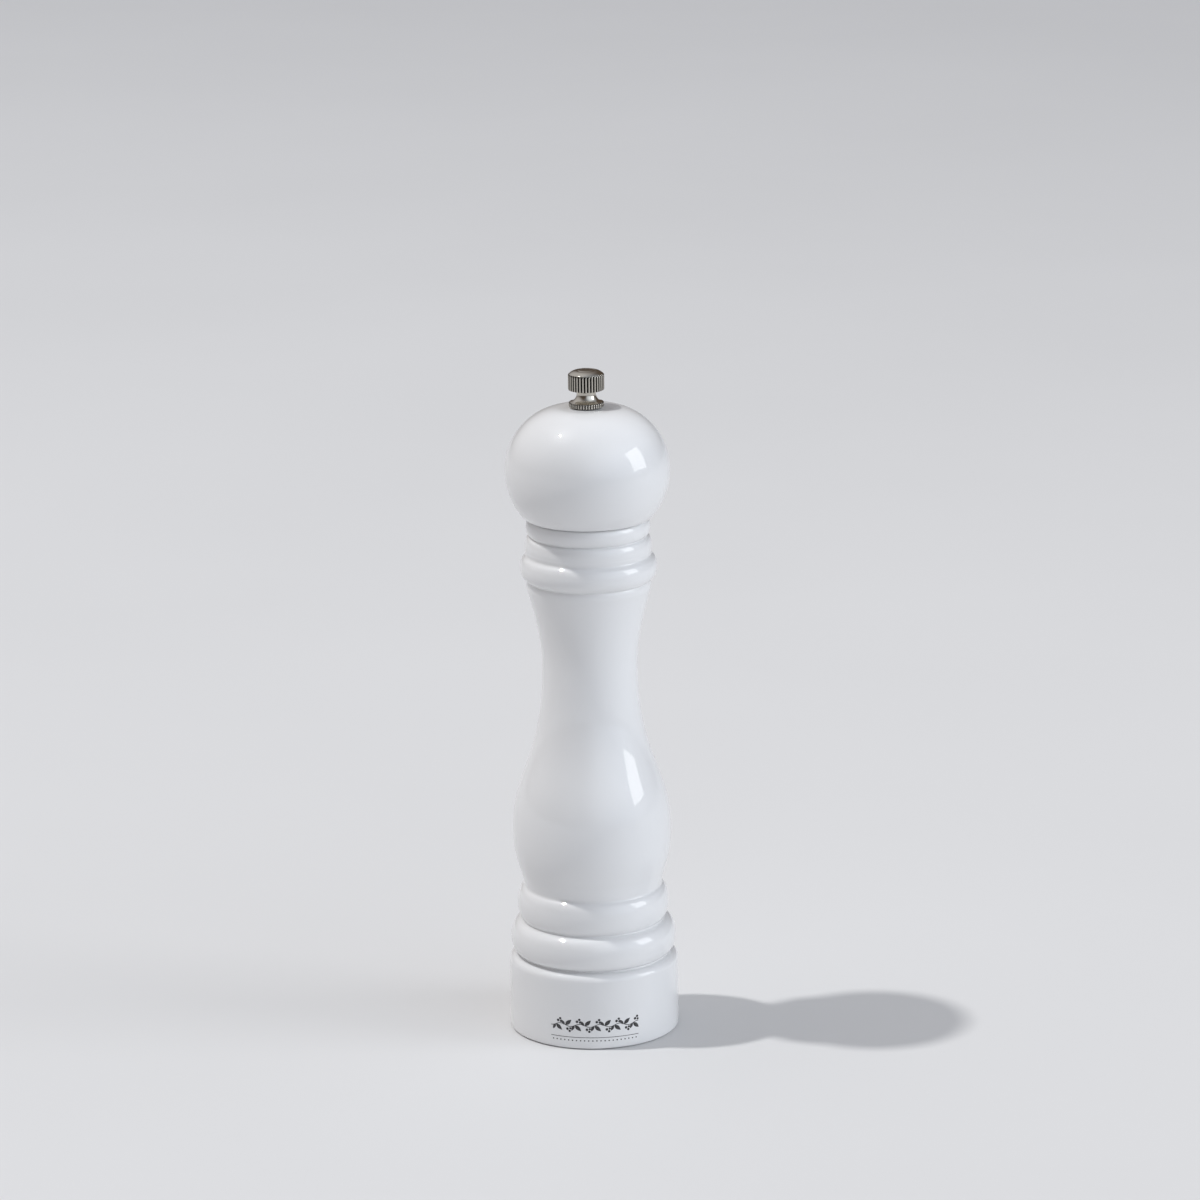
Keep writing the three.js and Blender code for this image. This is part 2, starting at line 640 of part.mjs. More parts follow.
PLATE_SCREW_ANGLES.forEach((angle, i) => {
  const screw = add(`retaining_plate_screw_${i + 1}`, panScrewGeometry(), steel);
  const x = PLATE_SCREW_CIRCLE * Math.cos(radians(angle));
  const y = PLATE_SCREW_CIRCLE * Math.sin(radians(angle));
  screw.position.set(x, y, PLATE_TOP - PLATE_THICKNESS - PLAY - PAN_HEAD.height);
});

export default group;
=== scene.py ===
"""A turned wooden pepper mill in white lacquer, with its ceramic grinder, as a fine visual model.

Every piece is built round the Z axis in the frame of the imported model, replaces the plain CAD node of
the same name, and rides on that node's body. Sizes are in millimetres until a mesh is finished.
"""

from __future__ import annotations

import logging
import math
from dataclasses import dataclass, field
from enum import Enum
from typing import Callable, Iterable, NamedTuple, Sequence

import bmesh
import bpy
from mathutils import Euler, Matrix, Vector, geometry


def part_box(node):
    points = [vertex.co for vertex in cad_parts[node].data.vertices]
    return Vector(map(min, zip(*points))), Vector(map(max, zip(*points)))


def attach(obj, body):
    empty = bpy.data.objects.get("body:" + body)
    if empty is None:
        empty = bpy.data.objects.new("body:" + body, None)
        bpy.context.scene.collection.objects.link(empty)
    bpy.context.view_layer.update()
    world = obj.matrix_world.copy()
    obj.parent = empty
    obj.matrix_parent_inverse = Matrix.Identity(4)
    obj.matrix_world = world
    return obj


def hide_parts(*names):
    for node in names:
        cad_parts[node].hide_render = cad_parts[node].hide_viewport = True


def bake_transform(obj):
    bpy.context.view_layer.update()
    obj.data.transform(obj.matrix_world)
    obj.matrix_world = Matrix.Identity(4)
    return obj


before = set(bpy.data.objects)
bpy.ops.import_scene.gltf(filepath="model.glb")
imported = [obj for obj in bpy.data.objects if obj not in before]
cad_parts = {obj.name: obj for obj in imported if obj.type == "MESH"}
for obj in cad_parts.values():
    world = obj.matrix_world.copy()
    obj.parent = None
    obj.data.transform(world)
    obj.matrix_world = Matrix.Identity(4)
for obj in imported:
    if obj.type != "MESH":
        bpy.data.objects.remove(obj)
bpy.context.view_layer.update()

LOG = logging.getLogger("mill")
MM = 0.001
TURN = 2 * math.pi
ARM_ANGLES = (90.0, 210.0, 330.0)
PLATE_SCREW_ANGLES = (30.0, 150.0, 270.0)

Point = tuple[float, float]
Loop = list[Point]
Triple = tuple[float, float, float]
Colour = tuple[float, ...]
Form = Callable[[float, float, float], float]
Mesh = bmesh.types.BMesh
Socket = bpy.types.NodeSocket


class Body(Enum):
    """The moving bodies of the mill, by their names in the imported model."""

    BASE = "base_body"
    SEAT = "spindle_seat"
    ROTOR = "rotor"
    HEAD = "head_turn"
    KNOB = "knob_cap"


class Slot(Enum):
    """The record's material slots."""

    LACQUER = "lacquer"
    NICKEL = "nickel"
    SHAFT = "shaft_aluminium"
    PLATE = "plate_steel"
    SCREW = "screw_steel"
    SPRING = "spring_steel"
    NYLON = "nylon"
    CERAMIC = "ceramic"


# ---- Outlines and forms --------------------------------------------------------------------------


@dataclass(frozen=True)
class Ring:
    """One ring of a turned mesh: its place, its form if it isn't round, its paint and its turn."""

    r: float
    z: float
    form: Form | None = None
    paint: int = 0
    turn: float = 0.0


@dataclass
class Outline:
    """The section of a turned piece, drawn anticlockwise as a lathe tool would follow it.

    Its rings turn by the lean, in radians, for each millimetre that they lie above the waist.
    """

    rings: list[Ring] = field(default_factory=list)
    form: Form | None = None
    paint: int = 0
    lean: float = 0.0
    waist: float = 0.0

    def use(self, form: Form | None = None, paint: int | None = None) -> Outline:
        """Sets how the stretch that follows is made.

        Args:
            form: Its form, or None if it is round.
            paint: Its paint, or None to keep the last one.

        Returns:
            This outline, as every drawing method does.
        """
        self.form = form
        self.paint = self.paint if paint is None else paint
        return self

    def at(self, r: float, z: float) -> Outline:
        """Adds one point."""
        self.rings.append(Ring(r, z, self.form, self.paint, self.lean * (z - self.waist)))
        return self

    def line(self, r: float, z: float, steps: int) -> Outline:
        """Adds a straight stretch from the last point.

        Args:
            r: Radius at its end.
            z: Height at its end.
            steps: Number of equal steps.

        Returns:
            This outline.
        """
        start = self.rings[-1]
        for i in range(1, steps + 1):
            self.at(start.r + (r - start.r) * i / steps, start.z + (z - start.z) * i / steps)
        return self

    def round(self, r: float, z: float, to: Point, radius: float, steps: int = 4) -> Outline:
        """Adds the corner at (r, z), rounded off on the way from the last point towards another.

        Args:
            r: Radius of the sharp corner.
            z: Height of the sharp corner.
            to: The point that the outline turns towards.
            radius: How far from the corner the rounding starts.
            steps: Steps round the corner.

        Returns:
            This outline.
        """
        corner, before = Vector((r, z)), Vector((self.rings[-1].r, self.rings[-1].z))
        a = corner + (before - corner).normalized() * radius
        b = corner + (Vector(to) - corner).normalized() * radius
        for i in range(steps + 1):
            t = i / steps
            p = a * (1 - t) ** 2 + corner * 2 * t * (1 - t) + b * t * t
            self.at(p.x, p.y)
        return self

    def sweep(self, out: Point, back: Point, end: Point, steps: int = 14) -> Outline:
        """Adds a cubic curve from the last point.

        Args:
            out: The handle that the curve leaves towards.
            back: The handle that it arrives from.
            end: Its end.
            steps: Number of steps.

        Returns:
            This outline.
        """
        p = [Vector((self.rings[-1].r, self.rings[-1].z)), Vector(out), Vector(back), Vector(end)]
        for i in range(1, steps + 1):
            t = i / steps
            u = 1 - t
            q = p[0] * u**3 + p[1] * 3 * u * u * t + p[2] * 3 * u * t * t + p[3] * t**3
            self.at(q.x, q.y)
        return self

    def arc(self, centre: Point, reach: Point, start: float, end: float, steps: int = 10) -> Outline:
        """Adds an arc of an ellipse.

        Args:
            centre: Its centre.
            reach: Its two half axes.
            start: Angle at its start, in degrees from outwards towards up.
            end: Angle at its end.
            steps: Number of steps.

        Returns:
            This outline.
        """
        for i in range(steps + 1):
            angle = math.radians(start + (end - start) * i / steps)
            self.at(centre[0] + reach[0] * math.cos(angle), centre[1] + reach[1] * math.sin(angle))
        return self


@dataclass(frozen=True)
class Polygon:
    """A regular polygon's radius at each angle, with its corners cut back."""

    sides: int
    flat: float
    corner: float
    start: float = 0.0

    def __call__(self, angle: float, r: float, z: float) -> float:
        """Returns the smaller of the ring's radius and the polygon's."""
        off = (angle - self.start) % (TURN / self.sides) - math.pi / self.sides
        return min(r, self.corner, self.flat / math.cos(off))


@dataclass(frozen=True)
class Flutes:
    """Round-topped ridges with narrow grooves between them, all round a piece."""

    count: int
    depth: float
    sharp: float = 1.0
    low: float = -1e9
    high: float = 1e9
    fade: float = 0.4

    def __call__(self, angle: float, r: float, z: float) -> float:
        """Sinks a ring into the grooves, which fade out at both ends.

        Args:
            angle: Angle round the axis, in radians.
            r: The ring's radius.
            z: The ring's height.

        Returns:
            The ring's radius less the groove's depth.
        """
        wave = abs(math.cos(angle * self.count / 2)) ** self.sharp
        end = min(1.0, max(0.0, (z - self.low) / self.fade), max(0.0, (self.high - z) / self.fade))
        return r - self.depth * (1 - wave) * end


@dataclass(frozen=True)
class Thread:
    """A screw thread: a ridge that climbs one pitch for each turn."""

    pitch: float
    depth: float
    crest: float = 0.15

    def __call__(self, angle: float, r: float, z: float) -> float:
        """Cuts the thread into a ring.

        Args:
            angle: Angle round the axis, in radians.
            r: The ring's radius.
            z: The ring's height.

        Returns:
            The radius at a crest, a root or the flank between them.
        """
        phase = (z / self.pitch - angle / TURN) % 1.0
        height = min(1.0, max(0.0, (abs(phase - 0.5) * 2 - self.crest) / (1 - 2 * self.crest)))
        return r - min(self.depth, r * 0.35) * height


@dataclass(frozen=True)
class Teeth:
    """The grinding teeth of a burr: a steep face and a long back, deeper towards the feed side.

    The back is the share of each tooth that its long side takes.
    """

    count: int
    fine: float
    coarse: float
    waist: float
    top: float
    inward: bool
    lean: float
    back: float = 0.82

    def __call__(self, angle: float, r: float, z: float) -> float:
        """Cuts the teeth into a ring.

        Args:
            angle: Angle round the axis, in radians.
            r: The ring's radius.
            z: The ring's height.

        Returns:
            The radius on the tooth's face or back.
        """
        phase = ((angle - self.lean * (z - self.waist)) * self.count / TURN) % 1.0
        rise = phase / self.back if phase < self.back else (1 - phase) / (1 - self.back)
        share = min(1.0, max(0.0, (z - self.waist) / (self.top - self.waist)))
        depth = (self.fine + (self.coarse - self.fine) * share) * (1 - rise)
        return r - depth if self.inward else r + depth


# ---- Meshes --------------------------------------------------------------------------------------


def spin(outline: Outline, segments: int = 96, closed: bool = False) -> Mesh:
    """Turns an outline about the Z axis.

    Args:
        outline: The section, in millimetres.
        segments: Facets all the way round.
        closed: True if the section closes on itself round a hole, False if it ends on the axis.

    Returns:
        A closed mesh, with each band's paint as its material index.
    """
    mesh = bmesh.new()
    rows: list[list[bmesh.types.BMVert]] = []
    for ring in outline.rings:
        if ring.r <= 0:
            rows.append([mesh.verts.new((0, 0, ring.z))] * segments)
            continue
        row = []
        for i in range(segments):
            angle = TURN * i / segments + ring.turn
            r = ring.form(angle, ring.r, ring.z) if ring.form else ring.r
            row.append(mesh.verts.new((r * math.cos(angle), r * math.sin(angle), ring.z)))
        rows.append(row)
    if closed:
        rows.append(rows[0])
    for low, high, ring in zip(rows, rows[1:], outline.rings):
        for i in range(segments):
            j = (i + 1) % segments
            corners = list(dict.fromkeys((low[i], low[j], high[j], high[i])))
            if len(corners) > 2:
                mesh.faces.new(corners).material_index = ring.paint
    return mesh


def circle(radius: float, steps: int = 48, centre: Point = (0.0, 0.0)) -> Loop:
    """Returns the points of a circle, anticlockwise."""
    angles = [TURN * i / steps for i in range(steps)]
    return [(centre[0] + radius * math.cos(a), centre[1] + radius * math.sin(a)) for a in angles]


def on_circle(radius: float, degrees: float) -> Point:
    """Returns the point at a radius and an angle."""
    return radius * math.cos(math.radians(degrees)), radius * math.sin(math.radians(degrees))


def soften(loop: Loop, spacing: float = 0.25, passes: int = 4) -> Loop:
    """Spaces a loop's points evenly and rounds its corners.

    Args:
        loop: The corners, in order.
        spacing: Distance between the new points.
        passes: How often each point moves towards its neighbours.

    Returns:
        The smoothed loop.
    """
    points: list[Vector] = []
    for a, b in zip(loop, loop[1:] + loop[:1]):
        start, end = Vector(a), Vector(b)
        steps = max(1, round((end - start).length / spacing))
        points += [start.lerp(end, i / steps) for i in range(steps)]
    for _ in range(passes):
        around = zip(points[-1:] + points[:-1], points, points[1:] + points[:1])
        points = [(a + p * 2 + b) / 4 for a, p, b in around]
    return [(p.x, p.y) for p in points]


def square(width: float, passes: int = 3) -> Loop:
    """Returns a square with slightly rounded corners."""
    half = width / 2
    return soften([(half, -half), (half, half), (-half, half), (-half, -half)], 0.3, passes)


def arm_window(start: float, inner: float, outer: float, arm_width: float) -> Loop:
    """Returns the opening between two neighbouring arms that are 120 degrees apart.

    Args:
        start: Angle of the first arm, in degrees.
        inner: Radius of the hub.
        outer: Radius of the rim.
        arm_width: Width of an arm.

    Returns:
        The opening's rim, anticlockwise.
    """
    points: Loop = []
    for radius, backwards in ((outer, False), (inner, True)):
        edge = math.degrees(math.asin(arm_width / 2 / radius))
        span = [start + edge + (120 - 2 * edge) * i / 24 for i in range(25)]
        points += [on_circle(radius, a) for a in (reversed(span) if backwards else span)]
    return soften(points, 0.35, 5)


def offset(loop: Loop, distance: float) -> Loop:
    """Moves each point of a loop sideways.

    Args:
        loop: The points, anticlockwise.
        distance: How far they move outwards, or inwards if it is negative.

    Returns:
        The moved points.
    """
    moved: Loop = []
    for a, p, b in zip(loop[-1:] + loop[:-1], loop, loop[1:] + loop[:1]):
        along = (Vector(b) - Vector(a)).normalized()
        moved.append((p[0] + along.y * distance, p[1] - along.x * distance))
    return moved


def plate(
    outer: Loop, holes: Sequence[Loop | tuple[Loop, Loop]], low: float, high: float, edge: float = 0.12
) -> Mesh:
    """Builds a flat plate with softened edges.

    Args:
        outer: The rim, anticlockwise.
        holes: Each hole, anticlockwise, or a pair for a hole that is wider at one face.
        low: Height of the under side.
        high: Height of the upper side.
        edge: Width of the softened edge.

    Returns:
        A closed mesh.
    """
    mesh = bmesh.new()
    faces_low: list[list[bmesh.types.BMVert]] = []
    faces_high: list[list[bmesh.types.BMVert]] = []
    for index, shape in enumerate([outer, *holes]):
        bottom, top = shape if isinstance(shape, tuple) else (shape, shape)
        away = -edge if index == 0 else edge
        levels = (
            (offset(bottom, away), low),
            (bottom, low + edge),
            (top, high - edge),
            (offset(top, away), high),
        )
        rows = [[mesh.verts.new((x, y, z)) for x, y in loop] for loop, z in levels]
        for a, b in zip(rows, rows[1:]):
            for i in range(len(a)):
                j = (i + 1) % len(a)
                quad = (a[i], a[j], b[j], b[i])
                mesh.faces.new(quad if index == 0 else quad[::-1])
        faces_low.append(rows[0])
        faces_high.append(rows[-1])
    for loops, up in ((faces_low, False), (faces_high, True)):
        flat = [v for loop in loops for v in loop]
        for tri in geometry.tessellate_polygon([[v.co for v in loop] for loop in loops]):
            corners = [flat[i] for i in tri]
            normal = (corners[1].co - corners[0].co).cross(corners[2].co - corners[0].co)
            mesh.faces.new(corners if (normal.z > 0) == up else corners[::-1])
    return mesh


def tube(path: Sequence[Vector], radius: float, sides: int = 12) -> Mesh:
    """Builds a round wire with flat ends.

    Args:
        path: Points along its middle, which climb round the Z axis.
        radius: Radius of the wire.
        sides: Facets round the wire.

    Returns:
        A closed mesh.
    """
    mesh = bmesh.new()
    rows = []
    for i, p in enumerate(path):
        along = (path[min(i + 1, len(path) - 1)] - path[max(i - 1, 0)]).normalized()
        out = Vector((p.x, p.y, 0)).normalized()
        up = along.cross(out).normalized()
        row = []
        for k in range(sides):
            angle = TURN * k / sides
            row.append(mesh.verts.new(p + out * radius * math.cos(angle) + up * radius * math.sin(angle)))
        rows.append(row)
    for a, b in zip(rows, rows[1:]):
        for k in range(sides):
            j = (k + 1) % sides
            mesh.faces.new((a[k], b[k], b[j], a[j]))
    mesh.faces.new(rows[0])
    mesh.faces.new(rows[-1][::-1])
    return mesh


def finish_piece(
    name: str, mesh: Mesh, finishes: Sequence[Finish], sharp: float = 32.0
) -> bpy.types.Object:
    """Makes an object of a mesh in millimetres: scales it, smooths it and gives it its materials.

    Args:
        name: The piece's name.
        mesh: The mesh, which is used up.
        finishes: One finish for each material index.
        sharp: The angle in degrees over which an edge stays sharp.

    Returns:
        The object.
    """
    bmesh.ops.remove_doubles(mesh, verts=mesh.verts, dist=1e-5)
    bmesh.ops.recalc_face_normals(mesh, faces=mesh.faces)
    bmesh.ops.scale(mesh, vec=(MM, MM, MM), verts=mesh.verts)
    data = bpy.data.meshes.new(name)
    mesh.to_mesh(data)
    mesh.free()
    for polygon in data.polygons:
        polygon.use_smooth = True
    data.set_sharp_from_angle(angle=math.radians(sharp))
    for finish in finishes:
        data.materials.append(finish.material())
    piece = bpy.data.objects.new(name, data)
    bpy.context.collection.objects.link(piece)
    return piece


def combine(base: Mesh, tools: Iterable[Mesh], how: str) -> Mesh:
    """Joins tools to a mesh or cuts them from it, exactly.

    Args:
        base: The mesh to change, which is used up.
        tools: Closed meshes, which are used up.
        how: UNION or DIFFERENCE.

    Returns:
        The new mesh.
    """
    made = []
    for mesh in (base, *tools):
        bmesh.ops.recalc_face_normals(mesh, faces=mesh.faces)
        data = bpy.data.meshes.new("tool")
        mesh.to_mesh(data)
        mesh.free()
        made.append(bpy.data.objects.new("tool", data))
        bpy.context.collection.objects.link(made[-1])
    for tool in made[1:]:
        change = made[0].modifiers.new("combine", "BOOLEAN")
        change.operation = how
        change.solver = "EXACT"
        change.object = tool
    result = bmesh.new()
    result.from_object(made[0], bpy.context.evaluated_depsgraph_get())
    for tool in made:
        data = tool.data
        bpy.data.objects.remove(tool)
        bpy.data.meshes.remove(data)
    return result


def moved(mesh: Mesh, x: float, y: float, z: float, degrees: float = 0.0) -> Mesh:
    """Turns a mesh about its own Z axis and moves it.

    Args:
        mesh: The mesh, which is changed.
        x: How far it moves to the right.
        y: How far it moves backwards.
        z: How far it moves up.
        degrees: The angle by which it turns first.

    Returns:
        The same mesh.
    """
    where = Matrix.Translation((x, y, z)) @ Matrix.Rotation(math.radians(degrees), 4, "Z")
    bmesh.ops.transform(mesh, matrix=where, verts=mesh.verts)
    return mesh


def hollows(piece: bpy.types.Object, outline: Outline, reach: float = 1.6, deep: float = 0.3) -> None:
    """Writes the point attribute "hollow", which is high in the grooves of a turned outline.

    Args:
        piece: A turned piece, with one ring of points for each ring of the outline.
        outline: The outline that it was turned from.
        reach: Distance along the outline over which a groove is felt, in millimetres.
        deep: How far in a point lies that counts as fully hollow, in millimetres.
    """
    rings = outline.rings
    depth: dict[tuple[int, int], float] = {}
    for i, ring in enumerate(rings):
        here = Vector((ring.r, ring.z))
        near = [Vector((other.r, other.z)) for other in rings[max(0, i - 20) : i + 21]]
        near = [p for p in near if (p - here).length < reach]
        middle = sum(near, Vector((0, 0))) / len(near)
        out = max(0.0, (middle - here).x)
        depth[round(ring.r * 1000), round(ring.z * 1000)] = min(1.0, out / deep)
    attribute = piece.data.attributes.new("hollow", "FLOAT", "POINT")
    for vertex, item in zip(piece.data.vertices, attribute.data):
        r = math.hypot(vertex.co.x, vertex.co.y) / MM
        item.value = depth.get((round(r * 1000), round(vertex.co.z / MM * 1000)), 0.0)


# ---- Finishes ------------------------------------------------------------------------------------


def add_node(
    tree: bpy.types.NodeTree, kind: str, inputs: dict[str | int, object], **settings: object
) -> bpy.types.Node:
    """Adds a node to a tree.

    Args:
        tree: The tree.
        kind: The node's type without ShaderNode.
        inputs: A value or a socket for each input.
        **settings: The node's own settings.

    Returns:
        The node.
    """
    made = tree.nodes.new("ShaderNode" + kind)
    for key, value in settings.items():
        setattr(made, key, value)
    for key, value in inputs.items():
        if isinstance(value, Socket):
            tree.links.new(value, made.inputs[key])
        else:
            made.inputs[key].default_value = value
    return made


class Recipe:
    """One node material while it is being built."""

    def __init__(self, name: str, **values: float | tuple[float, ...]) -> None:
        """Starts a material with its uniform values on the shader's own sockets.

        Args:
            name: The material's name.
            **values: Socket names in lower case with underscores, and their values.
        """
        self.material = bpy.data.materials.new(name)
        self.material.use_nodes = True
        self.tree = self.material.node_tree
        self.shader = self.tree.nodes["Principled BSDF"]
        for key, value in values.items():
            self.socket(key).default_value = value
        self.where = self.tree.nodes.new("ShaderNodeTexCoord").outputs["Object"]

    def socket(self, key: str) -> Socket:
        """Returns the shader's input for a name such as coat_weight."""
        wanted = key.replace("_", " ").lower()
        return next(s for s in self.shader.inputs if s.name.lower() == wanted)

    def node(self, kind: str, inputs: dict[str | int, object], **settings: object) -> bpy.types.Node:
        """Adds a node to the material, as add_node does."""
        return add_node(self.tree, kind, inputs, **settings)

    def stretched(self, x: float, y: float, z: float) -> Socket:
        """Returns the object's coordinates, scaled along each axis."""
        return self.node("Mapping", {"Vector": self.where, "Scale": (x, y, z)}).outputs["Vector"]

    def noise(self, scale: float | Triple, detail: float = 3.0, rough: float = 0.55) -> Socket:
        """Adds a noise over the object's coordinates.

        Args:
            scale: Its scale, or one for each axis.
            detail: Its number of octaves.
            rough: How strong the finer octaves are.

        Returns:
            A value from 0 to 1.
        """
        where = self.stretched(*(scale if isinstance(scale, tuple) else (scale,) * 3))
        values = {"Vector": where, "Scale": 1.0, "Detail": detail, "Roughness": rough}
        return self.node("TexNoise", values).outputs["Fac"]

    def ramp(self, value: Socket, low: float, high: float, out: Point = (0.0, 1.0)) -> Socket:
        """Returns a value stretched from one range to another and clamped."""
        values = {"Value": value, "From Min": low, "From Max": high, "To Min": out[0], "To Max": out[1]}
        return self.node("MapRange", values).outputs["Result"]

    def math(self, operation: str, a: object, b: object = 0.0) -> Socket:
        """Returns the result of one sum."""
        return self.node("Math", {0: a, 1: b}, operation=operation).outputs["Value"]

    def mix(self, share: object, a: object, b: object, blend: str = "MIX") -> Socket:
        """Returns a mix of two colours."""
        made = self.node("Mix", {0: share, 6: a, 7: b}, data_type="RGBA", blend_type=blend)
        return made.outputs[2]

    def attribute(self, name: str) -> Socket:
        """Returns a point attribute's value."""
        return self.node("Attribute", {}, attribute_name=name).outputs["Fac"]

    def bump(self, layers: Sequence[tuple[Socket, float]]) -> None:
        """Raises the surface.

        Args:
            layers: The value that each layer follows, and its height in metres.
        """
        normal = None
        for height, distance in layers:
            values = {"Height": height, "Strength": 1.0, "Distance": distance}
            if normal:
                values["Normal"] = normal
            normal = self.node("Bump", values).outputs["Normal"]
        self.feed("normal", normal)

    def feed(self, key: str, value: Socket) -> None:
        """Links a value to the shader's socket."""
        self.tree.links.new(value, self.socket(key))


@dataclass(frozen=True)
class Finish:
    """A surface finish, made into one material the first time that it is asked for."""

    name: str

    def material(self) -> bpy.types.Material:
        """Returns the finish's material."""
        return bpy.data.materials.get(self.name) or self.build().material

    def build(self) -> Recipe:
        """Returns the finish's recipe."""
        raise NotImplementedError


@dataclass(frozen=True)
class Lacquer(Finish):
    """Glossy cool-white lacquer over smooth wood, with a trace of dust in the grooves."""

    name: str = "white_lacquer"
    colour: Colour = (0.785, 0.788, 0.795, 1)
    shade: Colour = (0.775, 0.778, 0.784, 1)
    dust: Colour = (0.66, 0.65, 0.63, 1)

    def build(self) -> Recipe:
        """Returns the finish's recipe."""
        gloss = {"coat_weight": 1.0, "coat_roughness": 0.02}
        made = Recipe(self.name, roughness=0.4, specular_ior_level=0.15, **gloss)
        cloud = made.ramp(made.noise((55, 55, 30), 4.0), 0.3, 0.7)
        colour = made.mix(cloud, self.colour, self.shade)
        specks = made.ramp(made.noise(900, 5.0, 0.7), 0.5, 0.75)
        dust = made.math("MULTIPLY", made.attribute("hollow"), made.ramp(specks, 0, 1, (0.06, 0.25)))
        made.feed("base_color", made.mix(dust, colour, self.dust))
        peel = made.noise(320, 2.0, 0.4)
        grain = made.noise((650, 650, 18), 3.0, 0.6)
        patches = made.noise(140, 5.0)
        made.feed("roughness", made.ramp(patches, 0.3, 0.7, (0.34, 0.46)))
        made.bump([(peel, 0.000004), (grain, 0.000001)])
        return made


@dataclass(frozen=True)
class Beech(Finish):
    """Raw turned beech: fine straight grain, short dark flecks and tool rings, with overspray."""

    name: str = "raw_beech"
    light: Colour = (0.62, 0.43, 0.265, 1)
    dark: Colour = (0.45, 0.28, 0.155, 1)
    fleck: Colour = (0.28, 0.15, 0.075, 1)
    overspray: Colour = (0.82, 0.82, 0.81, 1)

    def build(self) -> Recipe:
        """Returns the finish's recipe."""
        made = Recipe(self.name, roughness=0.6, ior=1.48)
        grain = made.noise((260, 900, 9), 6.0, 0.65)
        bands = made.noise((90, 160, 3), 3.0)
        colour = made.mix(made.ramp(grain, 0.32, 0.68), self.light, self.dark)
        colour = made.mix(made.ramp(bands, 0.35, 0.65, (0.0, 0.35)), colour, self.dark)
        flecks = made.noise((1500, 2600, 260), 2.0, 0.5)
        colour = made.mix(made.ramp(flecks, 0.64, 0.7, (0.0, 0.75)), colour, self.fleck)
        mist = made.noise(700, 6.0, 0.7)
        cover = made.ramp(made.math("ADD", made.attribute("spray"), mist), 0.95, 1.25)
        made.feed("base_color", made.mix(cover, colour, self.overspray))
        made.feed("roughness", made.ramp(grain, 0.3, 0.7, (0.52, 0.72)))
        values = {"Vector": made.stretched(0.01, 0.01, 1), "Scale": 380.0, "Distortion": 0.8}
        rings = made.node("TexWave", values, bands_direction="Z").outputs["Fac"]
        made.bump([(rings, 0.00002), (grain, 0.00006), (flecks, 0.00003)])
        return made


@dataclass(frozen=True)
class Metal(Finish):
    """Bare or plated metal with fine scratches and a little cloudiness.

    The scratches run along the axis in which their scale is smallest.
    """

    colour: Colour = (0.6, 0.6, 0.6, 1)
    tarnish: Colour = (0.4, 0.4, 0.4, 1)
    polish: Point = (0.2, 0.35)
    scratch: Triple = (900, 900, 900)
    height: float = 0.000004
    cloud: float = 60.0

    def build(self) -> Recipe:
        """Returns the finish's recipe."""
        made = Recipe(self.name, metallic=1.0, roughness=0.3)
        cloudy = made.noise(self.cloud, 5.0, 0.6)
        fine = made.noise(self.scratch, 4.0, 0.65)
        share = made.ramp(cloudy, 0.42, 0.72, (0.0, 0.6))
        made.feed("base_color", made.mix(share, self.colour, self.tarnish))
        rough = made.mix(0.5, made.ramp(cloudy, 0.3, 0.7), made.ramp(fine, 0.3, 0.7))
        made.feed("roughness", made.ramp(rough, 0.0, 1.0, self.polish))
        made.bump([(fine, self.height)])
        return made


@dataclass(frozen=True)
class Mottled(Finish):
    """An even surface with patches of a second colour and a fine grain, such as nylon or ink.

    The patch is a noise's scale, detail and roughness. The cover is the range of it over which the second
    colour comes in, and the sheen is the range of the surface's roughness.
    """

    colour: Colour
    second: Colour
    patch: Triple
    cover: Point
    sheen: Point
    values: tuple[tuple[str, float], ...]
    grain: float = 0.0

    def build(self) -> Recipe:
        """Returns the finish's recipe."""
        made = Recipe(self.name, **dict(self.values))
        patch = made.noise(*self.patch)
        made.feed("base_color", made.mix(made.ramp(patch, *self.cover), self.colour, self.second))
        if self.sheen[0] < self.sheen[1]:
            made.feed("roughness", made.ramp(patch, 0.3, 0.7, self.sheen))
        if self.grain:
            made.bump([(made.noise(self.grain, 2.0), 0.00002)])
        return made


@dataclass(frozen=True)
class Fired(Finish):
    """Unglazed off-white grinding ceramic, slightly clouded and speckled."""

    name: str = "fired_ceramic"
    colour: Colour = (0.8, 0.775, 0.71, 1)
    warm: Colour = (0.7, 0.65, 0.56, 1)
    speck: Colour = (0.3, 0.24, 0.17, 1)

    def build(self) -> Recipe:
        """Returns the finish's recipe."""
        made = Recipe(self.name, roughness=0.6, ior=1.6)
        cloud = made.ramp(made.noise(170, 5.0), 0.35, 0.7)
        specks = made.ramp(made.noise(2400, 3.0, 0.6), 0.66, 0.74, (0.0, 0.6))
        made.feed("base_color", made.mix(specks, made.mix(cloud, self.colour, self.warm), self.speck))
        made.feed("roughness", made.ramp(cloud, 0.0, 1.0, (0.5, 0.7)))
        made.bump([(made.noise(1800, 4.0), 0.00002)])
        return made


NYLON = Mottled(
    "black_nylon", (0.018, 0.018, 0.02, 1), (0.05, 0.05, 0.052, 1), (120, 5.0, 0.55), (0.5, 0.72),
    (0.42, 0.6), (("roughness", 0.5), ("ior", 1.5)), 2600,
)
INK = Mottled(
    "printed_ink", (0.012, 0.012, 0.014, 1), (0.06, 0.06, 0.064, 1), (1600, 4.0, 0.7), (0.52, 0.75),
    (0.28, 0.45), (("roughness", 0.35), ("ior", 1.5), ("coat_weight", 0.6), ("coat_roughness", 0.1)),
)
WORKTOP = Mottled(
    "pale_worktop", (0.685, 0.685, 0.688, 1), (0.67, 0.67, 0.673, 1), (3, 3.0, 0.55), (0.3, 0.7),
    (0.75, 0.75), (("roughness", 0.75), ("specular_ior_level", 0.25)),
)
LACQUER, BEECH, CERAMIC = Lacquer(), Beech(), Fired()
